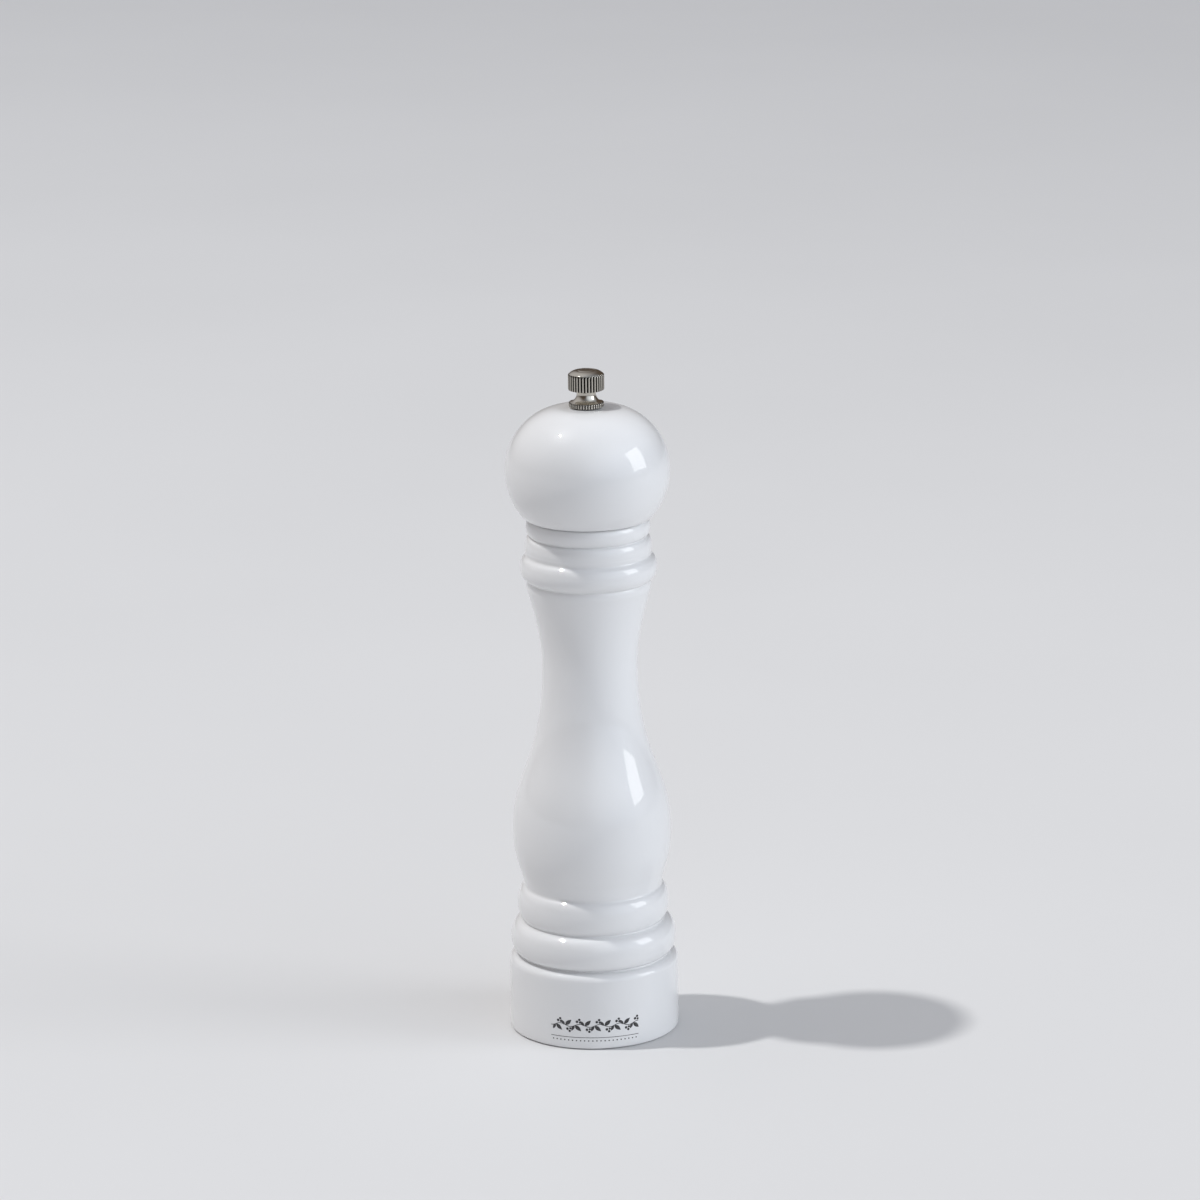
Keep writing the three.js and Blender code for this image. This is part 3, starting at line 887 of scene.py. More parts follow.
NICKEL = Metal(
    "polished_nickel", (0.56, 0.53, 0.475, 1), (0.42, 0.39, 0.34, 1), (0.03, 0.09), (900, 900, 200), 2e-7
)
# Near-black nickel for the bottoms of the knob's grooves: painted shade and painted dark reflection.
NICKEL_PAINTED_SHADE = Metal(
    "painted_shade_nickel", (0.06, 0.057, 0.052, 1), (0.045, 0.042, 0.038, 1), (0.2, 0.35), (900, 900, 200), 2e-7
)
ALUMINIUM = Metal(
    "drawn_aluminium", (0.72, 0.73, 0.74, 1), (0.6, 0.61, 0.62, 1), (0.28, 0.42), (1800, 1800, 25)
)
ZINC = Metal(
    "zinc_plate", (0.58, 0.59, 0.6, 1), (0.44, 0.45, 0.46, 1), (0.28, 0.45), (500, 1400, 900), cloud=180
)
SCREW = Metal(
    "zinc_screw", (0.62, 0.62, 0.6, 1), (0.46, 0.45, 0.42, 1), (0.22, 0.36), (1300,) * 3, cloud=220
)
WIRE = Metal(
    "spring_wire", (0.5, 0.5, 0.51, 1), (0.36, 0.35, 0.34, 1), (0.2, 0.34), (1600,) * 3, cloud=260
)


# ---- Sub-assemblies ------------------------------------------------------------------------------


class Extent(NamedTuple):
    """The heights of a CAD node's lower and upper ends and half its width, in millimetres."""

    low: float
    top: float
    radius: float


def extent(node: str) -> Extent:
    """Returns the extent of a CAD node."""
    low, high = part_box(node)
    return Extent(low[2] / MM, high[2] / MM, (high[0] - low[0]) / 2 / MM)


def place(piece: bpy.types.Object, body: Body, slot: Slot, *nodes: str) -> bpy.types.Object:
    """Rides a piece on its body and lets it stand for its CAD nodes.

    Args:
        piece: The finished piece.
        body: The body that it rides on.
        slot: Its material slot; not used.
        *nodes: The CAD nodes that it replaces.

    Returns:
        The piece.
    """
    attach(piece, body.value)
    if nodes:
        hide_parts(*nodes)
    LOG.info("%s: %d faces on %s", piece.name, len(piece.data.polygons), body.value)
    return piece


def add(
    node: str, mesh: Mesh, finish: Finish, body: Body, slot: Slot, sharp: float = 28.0
) -> bpy.types.Object:
    """Makes the piece that stands for one CAD node.

    Args:
        node: The node's name, from which the piece takes its own.
        mesh: Its mesh, in millimetres.
        finish: Its finish.
        body: The body that it rides on.
        slot: Its material slot.
        sharp: The angle in degrees over which an edge stays sharp.

    Returns:
        The piece.
    """
    return place(finish_piece("mill_" + node, mesh, (finish,), sharp), body, slot, node)


def spray_near(piece: bpy.types.Object, edges: Sequence[Point], reach: float) -> None:
    """Writes the point attribute "spray", which is high close to the edges of the lacquer.

    Args:
        piece: A turned piece.
        edges: Radius and height of each edge, in millimetres.
        reach: How far the overspray goes, in millimetres.
    """
    attribute = piece.data.attributes.new("spray", "FLOAT", "POINT")
    for vertex, item in zip(piece.data.vertices, attribute.data):
        here = Vector((math.hypot(vertex.co.x, vertex.co.y) / MM, vertex.co.z / MM))
        gap = min((here - Vector(edge)).length for edge in edges)
        item.value = max(0.0, 1.0 - gap / reach)


@dataclass
class WoodenBody:
    """The turned body: a straight foot, two beads, a bulb, a waisted neck, a bead and two fine rings."""

    foot_rounding: float = 0.8
    shoulder_z: float = 23.6
    shoulder: float = 2.6
    recess: float = 21.2
    recess_top: float = 12.0
    pocket: float = 15.9
    pocket_top: float = 42.3
    bore: float = 12.0
    segments: int = 128

    def outline(self) -> Outline:
        """Returns the body's section, lacquered outside and raw inside."""
        _, top, foot = extent("body")
        inner, turn = foot - self.foot_rounding, foot - self.shoulder
        drawn = Outline().at(self.recess + 1.4, 0).line(inner, 0, 4)
        drawn.arc((inner, self.foot_rounding), (self.foot_rounding,) * 2, -80, 0, 5)
        drawn.line(foot, self.shoulder_z, 12)
        drawn.arc((turn, self.shoulder_z), (self.shoulder,) * 2, 8, 88, 10)
        drawn.sweep((26.1, 26.2), (25.9, 26.35), (25.85, 26.65), 4)
        drawn.sweep((25.85, 26.9), (26.0, 27.0), (26.2, 27.05), 4)
        drawn.sweep((27.5, 27.4), (28.3, 29.8), (28.3, 32.6), 12)
        drawn.sweep((28.3, 35.5), (27.1, 37.9), (24.95, 38.45), 14)
        drawn.sweep((24.65, 38.52), (24.5, 38.6), (24.5, 38.85), 4)
        drawn.sweep((24.5, 39.1), (24.6, 39.2), (24.75, 39.35), 4)
        drawn.sweep((25.5, 40.2), (25.9, 42.3), (25.9, 44.6), 10)
        drawn.sweep((25.9, 47.2), (25.2, 49.3), (24.1, 50.1), 12)
        drawn.sweep((23.6, 50.45), (23.45, 50.8), (23.65, 51.7), 8)
        drawn.sweep((25.4, 59.4), (27.12, 61.2), (27.12, 70.3), 22)
        drawn.sweep((27.12, 91.8), (16.25, 94.5), (16.25, 129.0), 46)
        drawn.sweep((16.25, 137.7), (19.0, 148.3), (20.95, 155.2), 22)
        drawn.sweep((21.1, 155.7), (21.2, 156.2), (21.15, 157.3), 5)
        drawn.sweep((21.1, 157.9), (20.95, 158.05), (20.95, 158.3), 4)
        drawn.sweep((21.0, 158.6), (21.3, 158.65), (21.6, 158.8), 4)
        drawn.arc((20.5, 162.9), (2.75, 4.35), -58, 48, 18)
        drawn.sweep((21.8, 166.7), (21.3, 166.95), (21.2, 167.4), 5)
        drawn.sweep((21.15, 167.7), (21.3, 168.1), (21.38, 168.7), 5)
        drawn.arc((20.0, 170.1), (1.45, 3.55), -20, 62, 12)
        drawn.sweep((20.35, 173.5), (20.0, 173.55), (19.95, 173.75), 4)
        drawn.sweep((19.95, 173.95), (20.1, 174.05), (20.35, 174.25), 4)
        drawn.arc((19.85, 176.9), (1.25, 2.85), -58, 55, 14)
        drawn.round(20.0, top, (self.bore, top), 0.4)
        drawn.line(self.bore + 1.2, top, 3)
        drawn.use(paint=1).round(self.bore, top, (self.bore, top - 4), 0.7)
        drawn.line(self.bore, self.pocket_top + 0.4, 60)
        drawn.round(self.bore, self.pocket_top, (self.pocket, self.pocket_top), 0.3)
        drawn.line(self.pocket, self.pocket_top, 2)
        drawn.line(self.pocket, self.recess_top + 0.4, 12)
        drawn.round(self.pocket, self.recess_top, (self.recess, self.recess_top), 0.3)
        drawn.line(self.recess, self.recess_top, 3)
        drawn.line(self.recess, 1.2, 10)
        drawn.round(self.recess, 0, (self.recess + 2, 0), 0.9)
        return drawn

    def build(self) -> bpy.types.Object:
        """Builds the body."""
        drawn = self.outline()
        piece = finish_piece("mill_body", spin(drawn, self.segments, closed=True), (LACQUER, BEECH))
        hollows(piece, drawn)
        edges = ((self.bore + 0.6, extent("body").top), (self.recess + 0.6, 0.0))
        spray_near(piece, edges, 7.0)
        return place(piece, Body.BASE, Slot.LACQUER, "body")


@dataclass
class WoodenHead:
    """The turned head: a flattened ball over a raw tenon that turns in the body's bore."""

    widest: float = 196.5
    rim: float = 21.3
    seat: float = 8.8
    tenon: float = 11.6
    bore: float = 4.0
    segments: int = 128

    def outline(self) -> Outline:
        """Returns the head's section."""
        low, seat_z, ball = extent("head")
        rim_z = extent("body").top + 0.3
        drawn = Outline(paint=1).at(self.bore, low + 0.6)
        drawn.round(self.bore, low, (self.tenon, low), 0.4)
        drawn.line(self.tenon - 1.5, low, 3)
        drawn.round(self.tenon, low, (self.tenon, rim_z), 0.8)
        drawn.line(self.tenon, rim_z - 0.4, 8)
        drawn.round(self.tenon, rim_z, (self.rim, rim_z), 0.3)
        drawn.use(paint=0).line(self.rim - 0.6, rim_z, 6)
        drawn.round(self.rim, rim_z, (self.rim + 3, rim_z + 2.5), 0.35)
        drawn.sweep((24.4, 182.6), (ball, 189.3), (ball, self.widest), 24)
        drawn.sweep((ball, 209.0), (17.5, seat_z), (self.seat, seat_z), 36)
        drawn.line(self.bore + 0.8, seat_z, 5)
        drawn.use(paint=1).round(self.bore, seat_z, (self.bore, low), 0.5)
        drawn.line(self.bore, low + 1.2, 24)
        return drawn

    def build(self) -> bpy.types.Object:
        """Builds the head."""
        drawn = self.outline()
        piece = finish_piece("mill_head", spin(drawn, self.segments, closed=True), (LACQUER, BEECH))
        hollows(piece, drawn)
        edges = ((self.tenon, extent("body").top), (self.bore, extent("head").top))
        spray_near(piece, edges, 6.0)
        return place(piece, Body.HEAD, Slot.LACQUER, "head")


@dataclass
class FlutedKnob:
    """The nickel-plated knob: a serrated flange, a narrow waist and a fluted grip with a domed top."""

    flutes: int = 36
    depth: float = 0.42
    serrations: int = 40
    flange: float = 5.95
    waist: float = 3.25
    thread: float = 2.7
    thread_top: float = 228.2
    # how far inside a crest the painted groove shade starts, in millimetres
    shade_below: float = 0.09
    segments: int = 360

    def build(self) -> bpy.types.Object:
        """Builds the knob."""
        drawn = self.hole()
        self.foot(drawn)
        self.grip(drawn)
        mesh = spin(drawn, self.segments)
        # painted shade and dark reflection in the bottoms of the flutes and serrations
        self.paint_groove_shade(mesh)
        piece = finish_piece("mill_knob", mesh, (NICKEL, NICKEL_PAINTED_SHADE), 40)
        return place(piece, Body.KNOB, Slot.NICKEL, "knob")

    def paint_groove_shade(self, mesh: Mesh) -> None:
        """Paints the bottoms of the flutes and serrations near black, as painted shade and painted dark
        reflection.

        Args:
            mesh: The knob's mesh, in millimetres.
        """
        knob = extent("knob")
        bands = ((0.2, 1.6, self.flange), (6.0, 11.2, knob.radius))
        for face in mesh.faces:
            middle = face.calc_center_median()
            for start, end, wide in bands:
                crest = wide - self.shade_below
                if start < middle.z - knob.low < end and crest - 0.6 < middle.xy.length < crest:
                    face.material_index = 1

    def hole(self) -> Outline:
        """Returns the section of the blind threaded hole."""
        low = extent("knob").low
        drawn = Outline().at(0, self.thread_top).line(self.thread, self.thread_top - 0.6, 3)
        drawn.use(Thread(0.8, 0.4)).line(self.thread, low + 0.6, 80)
        return drawn.use().at(self.thread + 0.4, low + 0.15).at(self.thread + 0.7, low)

    def foot(self, drawn: Outline) -> None:
        """Adds the serrated flange and the waist.

        Args:
            drawn: The section so far.
        """
        low, rim = extent("knob").low, self.flange
        serrated = Flutes(self.serrations, 0.3, 0.8, low + 0.05, low + 1.75, 0.2)
        drawn.line(rim - 0.7, low, 2)
        drawn.use(serrated).at(rim - 0.3, low + 0.06).at(rim - 0.06, low + 0.18).at(rim, low + 0.36)
        drawn.line(rim, low + 1.3, 5)
        drawn.at(rim - 0.07, low + 1.5).at(rim - 0.3, low + 1.66)
        drawn.use().at(rim - 0.6, low + 1.74)
        drawn.sweep((4.7, low + 1.95), (4.3, low + 2.1), (4.0, low + 2.5), 7)
        drawn.sweep((3.6, low + 3.05), (self.waist, low + 3.7), (self.waist, low + 4.5), 8)
        drawn.sweep((self.waist, low + 5.15), (3.4, low + 5.5), (4.0, low + 5.66), 8)

    def grip(self, drawn: Outline) -> None:
        """Adds the fluted grip and its domed top.

        Args:
            drawn: The section so far.
        """
        low, top, wide = extent("knob")
        fluted = Flutes(self.flutes, self.depth, 0.8, low + 5.75, low + 11.35, 0.35)
        drawn.line(wide - 0.6, low + 5.74, 2)
        drawn.use(fluted).at(wide - 0.3, low + 5.78).at(wide - 0.08, low + 5.9).at(wide, low + 6.15)
        drawn.line(wide, low + 10.75, 10)
        drawn.sweep((wide, low + 11.0), (wide - 0.15, low + 11.2), (wide - 0.4, low + 11.38), 6)
        drawn.use().sweep((wide - 1.0, top - 0.62), (4.4, top - 0.2), (3.3, top - 0.12), 9)
        drawn.sweep((3.1, top - 0.1), (3.05, top - 0.2), (2.9, top - 0.2), 4)
        drawn.sweep((2.75, top - 0.2), (2.7, top - 0.08), (2.5, top - 0.06), 4)
        drawn.sweep((1.8, top - 0.02), (0.9, top), (0, top), 5)


@dataclass
class Shaft:
    """The square shaft: threaded for the knob above, turned down to a journal with a clip groove below."""

    width: float = 5.0
    corner: float = 3.32
    journal: float = 2.3
    square_low: float = 15.6
    thread_low: float = 207.0
    groove: Triple = (13.3, 14.5, 1.8)

    def build(self) -> bpy.types.Object:
        """Builds the shaft."""
        low, top, _ = extent("shaft")
        bar = Polygon(4, self.width / 2, self.corner, math.pi / 4)
        start, end, root = self.groove
        drawn = Outline().at(0, low).line(self.journal - 0.5, low, 2).line(self.journal, low + 0.5, 2)
        drawn.line(self.journal, start, 3).line(root, start, 1).line(root, end, 2)
        drawn.line(self.journal, end, 1).line(self.journal, self.square_low, 2)
        drawn.use(bar).line(self.journal + 0.2, self.square_low + 0.02, 1)
        drawn.line(self.corner, self.square_low + 0.7, 8)
        drawn.line(self.corner, self.thread_low - 1.6, 40)
        drawn.line(2.2, self.thread_low - 0.1, 14)
        drawn.use().line(2.05, self.thread_low + 0.4, 2)
        drawn.use(Thread(0.8, 0.42)).line(2.4, self.thread_low + 1.0, 6)
        drawn.line(2.4, top - 0.6, 180).line(1.9, top - 0.1, 6)
        drawn.use().at(1.6, top).at(0, top)
        return add("shaft", spin(drawn, 96), ALUMINIUM, Body.ROTOR, Slot.SHAFT, 30)


class ScrewHead(Enum):
    """The two kinds of screw in the mill, by the shape of their heads."""

    PAN = "pan"
    SUNK = "sunk"


@dataclass
class Screw:
    """A cross-headed wood screw that points up, drawn with the face of its head at z = 0."""

    head: ScrewHead
    length: float
    radius: float = 1.2
    root: float = 0.85
    pitch: float = 1.1

    def mesh(self) -> Mesh:
        """Returns the screw's mesh."""
        drawn = Outline().at(0, 0)
        if self.head is ScrewHead.PAN:
            drawn.line(1.5, 0.02, 2).sweep((2.1, 0.1), (2.4, 0.6), (2.4, 1.1), 7)
            drawn.line(2.38, 1.6, 2).at(2.2, 1.7).line(1.1, 1.7, 2)
            neck = 1.7
        else:
            drawn.line(2.1, 0, 2).at(2.27, 0.05).at(2.3, 0.2).line(1.1, 1.35, 4)
            neck = 1.35
        drawn.line(0.95, neck + 0.3, 2).use(Thread(self.pitch, self.radius - self.root, 0.08))
        drawn.line(self.radius, neck + 0.9, 5).line(self.radius, self.length - 2, 60)
        drawn.line(0.25, self.length - 0.15, 16).use().at(0, self.length)
        arm = 1.35
        cross = [(arm, -0.3), (arm, 0.3), (0.38, 0.38), (0.3, arm), (-0.3, arm), (-0.38, 0.38)]
        cross += [(-x, -y) for x, y in cross]
        tool = plate(soften(cross, 0.2, 1), (), -0.4, 1.0, 0.05)
        for vertex in tool.verts:
            shrink = 1 - 0.45 * max(0.0, vertex.co.z)
            vertex.co.x, vertex.co.y = vertex.co.x * shrink, vertex.co.y * shrink
        return combine(spin(drawn, 32), (tool,), "DIFFERENCE")


@dataclass
class DrivePlate:
    """The steel plate under the head's tenon, whose square hole turns the shaft, and its screws."""

    hole: float = 5.4
    circle: float = 7.4
    screw_length: float = 9.0
    stop_step: float = 17.0

    def build(self) -> None:
        """Builds the plate and its three screws."""
        low, top, wide = extent("drive_plate")
        sinks = []
        for angle in ARM_ANGLES:
            centre = on_circle(self.circle, angle)
            sinks.append((circle(2.55, 32, centre), circle(1.5, 32, centre)))
        mesh = plate(circle(wide, 96), (square(self.hole), *sinks), low, top, 0.14)
        add("drive_plate", mesh, ZINC, Body.HEAD, Slot.PLATE)
        for i, angle in enumerate(ARM_ANGLES, 1):
            mesh = Screw(ScrewHead.SUNK, self.screw_length).mesh()
            mesh = moved(mesh, *on_circle(self.circle, angle), low, self.stop_step * i)
            add(f"drive_plate_screw_{i}", mesh, SCREW, Body.HEAD, Slot.SCREW, 38)


@dataclass
class RetainingPlate:
    """The pressed steel plate across the recess that keeps the grinder in, and its screws."""

    opening: float = 12.6
    hub: float = 4.4
    bearing: float = 2.6
    arm: float = 3.2
    circle: float = 18.2
    screw_length: float = 11.0
    stop_step: float = 23.0

    def build(self) -> None:
        """Builds the plate and its three screws."""
        low, top, wide = extent("retaining_plate")
        windows = [arm_window(angle, self.hub, self.opening, self.arm) for angle in ARM_ANGLES]
        holes = [circle(1.5, 32, on_circle(self.circle, angle)) for angle in PLATE_SCREW_ANGLES]
        mesh = plate(circle(wide, 128), (circle(self.bearing, 40), *windows, *holes), low, top, 0.16)
        add("retaining_plate", mesh, ZINC, Body.BASE, Slot.PLATE)
        for i, angle in enumerate(PLATE_SCREW_ANGLES, 1):
            node = f"retaining_plate_screw_{i}"
            mesh = Screw(ScrewHead.PAN, self.screw_length).mesh()
            mesh = moved(mesh, *on_circle(self.circle, angle), extent(node).low + 0.28, self.stop_step * i)
            add(node, mesh, SCREW, Body.BASE, Slot.SCREW, 38)


@dataclass
class Grinder:
    """The grinder: a ribbed housing with a bridge, two ceramic burrs, the hub and its spring."""

    seat: float = 14.2
    seat_top: float = 25.3
    throat: float = 13.2
    bridge_low: float = 38.5
    bridge_hub: float = 6.0
    bridge_hole: float = 3.8
    arm: float = 3.0
    lean: float = 0.035
    fine: float = 0.5
    coarse: float = 0.9
    outer_radius: float = 13.9
    outer_teeth: int = 24
    outer_waist: float = 17.5
    inner_teeth: int = 18
    inner_waist: float = 18.3
    wire: float = 0.4
    coil: float = 4.25
    coils: float = 5.0
    dead_coil: float = 0.8

    def housing(self) -> None:
        """Builds the housing: a ribbed cup whose bridge carries the shaft's upper bearing."""
        low, top, wide = extent("grinder_housing")
        ribs = Flutes(30, 0.35, 0.35, low + 1.6, top - 2.0, 0.8)
        drawn = Outline().at(self.seat, low + 0.5).at(self.seat + 0.2, low)
        drawn.line(wide - 0.3, low, 2).at(wide, low + 0.3).line(wide, low + 1.4, 2)
        drawn.use(ribs).line(wide, top - 1.8, 24).use().line(wide, top - 0.8, 2)
        drawn.round(wide, top, (self.throat, top), 0.7).line(self.throat + 0.3, top, 2)
        drawn.at(self.throat, top - 0.3).line(self.throat, self.seat_top, 8)
        drawn.line(self.seat, self.seat_top, 1).line(self.seat, low + 1, 6)
        reach = self.throat - 0.2
        windows = [arm_window(angle, self.bridge_hub, reach, self.arm) for angle in ARM_ANGLES]
        hole = circle(self.bridge_hole, 48)
        bridge = plate(circle(self.throat + 0.6, 96), (hole, *windows), self.bridge_low, top - 0.15, 0.3)
        boss = plate(circle(5.2, 48), (hole,), top - 0.6, top, 0.15)
        mesh = combine(spin(drawn, 180, closed=True), (bridge, boss), "UNION")
        add("grinder_housing", mesh, NYLON, Body.BASE, Slot.NYLON, 30)

    def outer_burr(self) -> None:
        """Builds the fixed ring, with its teeth inside."""
        low, top, _ = extent("outer_burr")
        waist, wide = self.outer_waist, self.outer_radius
        teeth = Teeth(self.outer_teeth, self.fine, self.coarse, waist, top, False, self.lean)
        drawn = Outline(lean=self.lean, waist=waist).at(13.2, low).line(wide - 0.3, low, 2)
        drawn.at(wide, low + 0.3).line(wide, top - 0.2, 6).at(wide - 0.2, top)
        drawn.use(teeth).at(12.65, top).line(10.5, waist, 12)
        drawn.line(12.35, low + 0.1, 8).at(12.6, low)
        mesh = spin(drawn, self.outer_teeth * 11, closed=True)
        add("outer_burr", mesh, CERAMIC, Body.BASE, Slot.CERAMIC, 24)

    def inner_burr(self) -> None:
        """Builds the turning cone, with its teeth outside and a six-sided key hole inside."""
        low, top, _ = extent("inner_burr")
        waist, key = self.inner_waist, Polygon(6, 4.94, 5.7)
        teeth = Teeth(self.inner_teeth, self.fine, self.coarse, waist, top, True, self.lean)
        drawn = Outline(lean=self.lean, waist=waist).at(7.3, low).line(9.8, low, 2)
        drawn.use(teeth).at(11.1, low).at(11.25, low + 0.15).line(9.85, waist, 8)
        drawn.line(7.95, top - 0.1, 16).line(7.75, top, 1)
        drawn.use().at(6.3, top).use(key).at(5.9, top).line(5.9, 17.4, 8)
        drawn.use().at(7.3, 17.3).line(7.3, low + 0.4, 3)
        mesh = spin(drawn, self.inner_teeth * 12, closed=True)
        add("inner_burr", mesh, CERAMIC, Body.ROTOR, Slot.CERAMIC, 24)

    def hub(self) -> None:
        """Builds the hub: a flange and a six-sided sleeve with a square hole for the shaft."""
        low, top, _ = extent("rotor_hub")
        sleeve, hole = Polygon(6, 4.68, 5.3), Polygon(4, 2.7, 3.72, math.pi / 4)
        drawn = Outline().use(hole).at(3.8, low + 0.15).use().line(4.3, low, 1).line(6.8, low, 3)
        drawn.at(7, low + 0.2).line(7, 16.8, 2).at(6.8, 17).line(5.6, 17, 2)
        drawn.use(sleeve).line(5.5, 17.05, 1).line(5.5, top - 0.4, 10).line(4.9, top - 0.05, 2)
        drawn.use().line(4.45, top, 1).use(hole).line(3.9, top - 0.1, 1).line(3.9, low + 0.3, 10)
        add("rotor_hub", spin(drawn, 96, closed=True), NYLON, Body.ROTOR, Slot.NYLON)

    def spring(self) -> None:
        """Builds the spring, its end coils closed, between its washer and the hub."""
        low, top, _ = extent("spring")
        first, last, climb = low + self.wire, top - self.wire, 0.75 * self.wire * 2
        dead, turns = self.dead_coil, self.coils + 2 * self.dead_coil
        path = []
        for i in range(int(turns * 30) + 1):
            turn = i / 30
            share = min(1.0, max(0.0, (turn - dead) / (turns - 2 * dead)))
            closed = climb * (min(turn, dead) + max(0.0, turn - turns + dead))
            z = first + closed + share * (last - first - climb * 2 * dead)
            path.append(Vector((self.coil * math.cos(turn * TURN), self.coil * math.sin(turn * TURN), z)))
        piece = finish_piece("mill_spring", tube(path, self.wire), (WIRE,), 60)
        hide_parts("spring")
        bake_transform(piece)
        LOG.info("%s: %d faces between its seat and the rotor", piece.name, len(piece.data.polygons))

    def washers(self) -> None:
        """Builds the spring's washer, the thrust washer and the spring clip under the hub."""
        mesh = plate(circle(5.6, 64), (square(5.4),), *extent("spring_washer")[:2], 0.15)
        add("spring_washer", mesh, NYLON, Body.SEAT, Slot.NYLON)
        mesh = plate(circle(4.8, 64), (circle(2.8, 40),), *extent("thrust_washer")[:2], 0.1)
        add("thrust_washer", mesh, ZINC, Body.ROTOR, Slot.PLATE)
        mesh = plate(self.clip(), (), *extent("retaining_clip")[:2], 0.08)
        add("retaining_clip", mesh, WIRE, Body.ROTOR, Slot.SPRING)

    def clip(self) -> Loop:
        """Returns the clip's outline: an open ring with three prongs that reach into the groove."""
        mouth = 32.0  # half of the opening's angle, in degrees
        outer = [on_circle(3.9, mouth + (360 - 2 * mouth) * i / 60) for i in range(61)]
        inner = []
        for i in range(61):
            angle = 360 - mouth - (360 - 2 * mouth) * i / 60
            prong = min(abs((angle - centre + 180) % 360 - 180) for centre in (48.0, 180.0, 312.0)) < 17
            inner.append(on_circle(2.0 if prong else 2.95, angle))
        return soften(outer + inner, 0.15, 2)

    def build(self) -> None:
        """Builds the whole grinder."""
        self.housing()
        self.outer_burr()
        self.inner_burr()
        self.hub()
        self.spring()
        self.washers()


@dataclass
class PrintedVine:
    """A printed ornament on the front of the foot: a pepper vine over a fine rule and a row of dots."""

    centre_z: float = 7.2
    half_width: float = 15.6
    stations: int = 9
    thickness: float = 0.03

    def leaf(self, start: Point, length: float, width: float, degrees: float) -> Loop:
        """Returns a pointed leaf.

        Args:
            start: Where its stalk ends.
            length: Its length.
            width: Its greatest width.
            degrees: The direction in which it points.

        Returns:
            The leaf's outline.
        """
        (x, y), points = on_circle(1.0, degrees), []
        for i in range(32):
            t = i / 16 if i < 16 else 2 - i / 16
            side = -1 if i < 16 else 1
            out = side * width / 2 * math.sin(math.pi * t) ** 0.85 * (1.2 - 0.45 * t)
            along = length * t
            points.append((start[0] + x * along - y * out, start[1] + y * along + x * out))
        return points

    def wave(self, x: float) -> float:
        """Returns the height of the stem."""
        return 0.5 * math.sin(x * math.pi / 3.4) + 1.3

    def shapes(self) -> list[Loop]:
        """Returns the ornament's outlines on the unrolled foot, with x to the right and z up."""
        end = self.half_width
        xs = [-end + 2 * end * i / 60 for i in range(61)]
        stem = [(x, self.wave(x) - 0.11) for x in xs]
        stem += [(x, self.wave(x) + 0.11) for x in reversed(xs)]
        found = [stem, [(-end, -3.05), (end, -3.05), (end, -2.87), (-end, -2.87)]]
        for i in range(self.stations):
            x = -13.6 + 3.4 * i
            side = 1 if i % 2 else -1
            found.append(self.leaf((x, self.wave(x)), 2.9, 1.35, 42 * side))
            found.append(self.leaf((x - 0.2, self.wave(x)), 2.2, 1.0, 130 if side > 0 else -118))
            for step, (right, up) in enumerate(((0.75, 1.05), (1.55, 1.6), (1.75, 0.65))):
                berry = (x + right, self.wave(x + right) - side * up)
                found.append(circle(0.47 - 0.04 * step, 20, berry))
        for i in range(22):
            found.append(circle(0.24, 14, (-14.7 + 1.4 * i, -4.1)))
        return found

    def wrapped(self, shape: Loop) -> bpy.types.Mesh:
        """Wraps one thin ink shape round the foot, cut into narrow strips.

        Args:
            shape: Its outline on the unrolled foot.

        Returns:
            Its mesh.
        """
        area = sum(a[0] * b[1] - b[0] * a[1] for a, b in zip(shape, shape[1:] + shape[:1]))
        part = plate(soften(shape if area > 0 else shape[::-1], 0.4, 0), (), 0.005, self.thickness, 0.004)
        for i in range(-16, 17):
            every = [*part.verts, *part.edges, *part.faces]
            bmesh.ops.bisect_plane(part, geom=every, plane_co=(i, 0, 0), plane_no=(1, 0, 0))
        radius = extent("body").radius
        for vertex in part.verts:
            x, z, out = vertex.co
            angle = x / radius - math.pi / 2
            reach = radius + out
            vertex.co = (reach * math.cos(angle), reach * math.sin(angle), self.centre_z + z)
        data = bpy.data.meshes.new("part")
        part.to_mesh(data)
        part.free()
        return data

    def build(self) -> None:
        """Builds the ornament."""
        mesh = bmesh.new()
        for shape in self.shapes():
            data = self.wrapped(shape)
            mesh.from_mesh(data)
            bpy.data.meshes.remove(data)
        place(finish_piece("mill_printed_vine", mesh, (INK,), 60), Body.BASE, Slot.LACQUER)


# ---- Studio --------------------------------------------------------------------------------------


def towards(azimuth: float, elevation: float) -> Vector:
    """Returns the direction at an angle from the front towards the right, and one above the horizon."""
    a, e = math.radians(azimuth), math.radians(elevation)
    return Vector((math.sin(a) * math.cos(e), -math.cos(a) * math.cos(e), math.sin(e)))


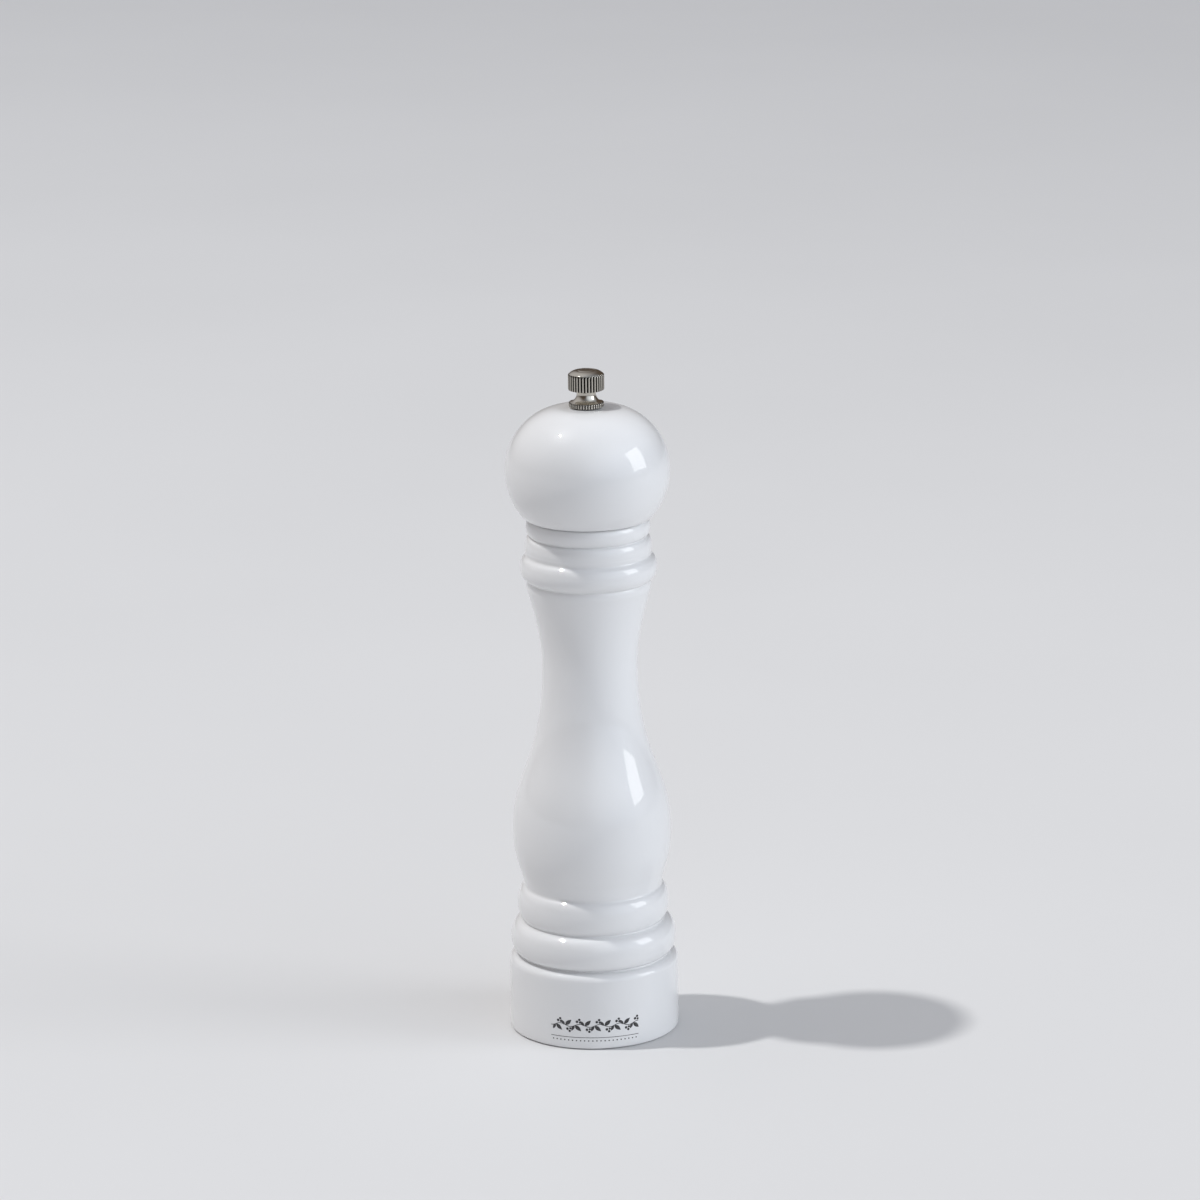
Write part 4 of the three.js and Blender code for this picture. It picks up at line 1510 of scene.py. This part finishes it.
@dataclass
class Studio:
    """The floor, the lights and the camera.

    Each glow has an azimuth and an elevation in degrees, the cosine at which it starts, and its colour. The
    floor's reach is in millimetres, and it lies a hair below the mill.
    """

    lens: float = 154.5
    camera_place: Triple = (0.0037, -1.6838, 0.6019)
    pitch: float = 15.0
    roll: float = 0.75
    floor_reach: float = 12000
    floor_centre: Triple = (0, 6, -0.0002)
    glows: tuple[tuple[float, float, float, Triple], ...] = (
        (0, 90, -2.0, (0.14, 0.11, 0.09)),
        (45, 10, 0.55, (0.84, 0.93, 1.04)),
        (79, 20, 0.6, (0.28, 0.3, 0.33)),
        (55, 55, 0.4, (0.2, 0.25, 0.31)),
        (-120, 45, 0.45, (0.59, 0.61, 0.65)),
    )

    def camera(self) -> None:
        """Makes the camera, which looks slightly down at the mill."""
        data = bpy.data.cameras.new("studio_camera")
        data.lens = self.lens
        data.sensor_width = 36
        data.clip_end = 50
        camera = bpy.data.objects.new("studio_camera", data)
        bpy.context.collection.objects.link(camera)
        aim = Euler((math.radians(90 - self.pitch), 0, 0)).to_matrix()
        tilt = Matrix.Rotation(math.radians(-self.roll), 3, "Z")
        camera.matrix_world = Matrix.Translation(self.camera_place) @ (aim @ tilt).to_4x4()
        bpy.context.scene.camera = camera

    def floor(self) -> None:
        """Makes the floor."""
        mesh = bmesh.new()
        bmesh.ops.create_grid(mesh, x_segments=8, y_segments=8, size=self.floor_reach)
        piece = finish_piece("studio_floor", mesh, (WORKTOP,))
        piece.location = self.floor_centre

    def light(
        self,
        name: str,
        azimuth: float,
        elevation: float,
        distance: float,
        size: Point,
        glow: float,
        colour: Triple,
        disc: bool = False,
    ) -> None:
        """Adds an area light that faces the mill.

        Args:
            name: The light's name.
            azimuth: Angle from the front towards the right, in degrees.
            elevation: Height above the horizon, in degrees.
            distance: Distance from the middle of the mill, in metres.
            size: Width and height, in metres.
            glow: The light that reaches the mill, as a share of a white surface's brightness.
            colour: The light's colour.
            disc: True for a round light.
        """
        data = bpy.data.lights.new(name, "AREA")
        data.shape = "DISK" if disc else "RECTANGLE"
        data.size, data.size_y = size
        data.energy = glow * math.pi**2 * distance**2
        data.color = colour
        lamp = bpy.data.objects.new(name, data)
        bpy.context.collection.objects.link(lamp)
        out = towards(azimuth, elevation)
        lamp.location = Vector((0, 0, 0.12)) + out * distance
        lamp.rotation_mode = "QUATERNION"
        lamp.rotation_quaternion = out.to_track_quat("Z", "Y")

    def surroundings(self) -> None:
        """Makes the soft light of the room out of broad glows, with no hard edge to reflect."""
        world = bpy.data.worlds.new("studio_room")
        world.use_nodes = True
        bpy.context.scene.world = world
        tree = world.node_tree
        background = tree.nodes["Background"]
        background.inputs["Strength"].default_value = 1.0
        total = None
        coords = tree.nodes.new("ShaderNodeTexCoord").outputs["Generated"]
        for azimuth, elevation, start, colour in self.glows:
            facing = add_node(
                tree, "VectorMath", {0: coords, 1: towards(azimuth, elevation)}, operation="DOT_PRODUCT"
            ).outputs["Value"]
            values = {"Value": facing, "From Min": start}
            share = add_node(tree, "MapRange", values, interpolation_type="SMOOTHSTEP").outputs["Result"]
            values = {0: colour, "Scale": share}
            glow = add_node(tree, "VectorMath", values, operation="SCALE").outputs["Vector"]
            if total is not None:
                glow = add_node(tree, "VectorMath", {0: total, 1: glow}).outputs["Vector"]
            total = glow
        tree.links.new(total, background.inputs["Color"])

    def build(self) -> None:
        """Builds the studio."""
        self.camera()
        self.floor()
        self.surroundings()
        self.light("lamp", -91.2, 64.3, 4.0, (0.16, 0.16), glow=0.515, colour=(1.0, 0.995, 0.985), disc=True)
        self.light("window", 79, 22, 1.8, (0.75, 0.95), glow=0.26, colour=(0.98, 0.99, 1.0))
        bpy.context.scene.view_settings.view_transform = "Standard"


def main() -> None:
    """Builds the studio and every sub-assembly in order."""
    logging.basicConfig(level=logging.INFO, format="%(name)s %(message)s")
    Studio().build()
    for part in (WoodenBody, WoodenHead, FlutedKnob, Shaft, DrivePlate, RetainingPlate, Grinder, PrintedVine):
        part().build()


if __name__ == "__main__":
    main()
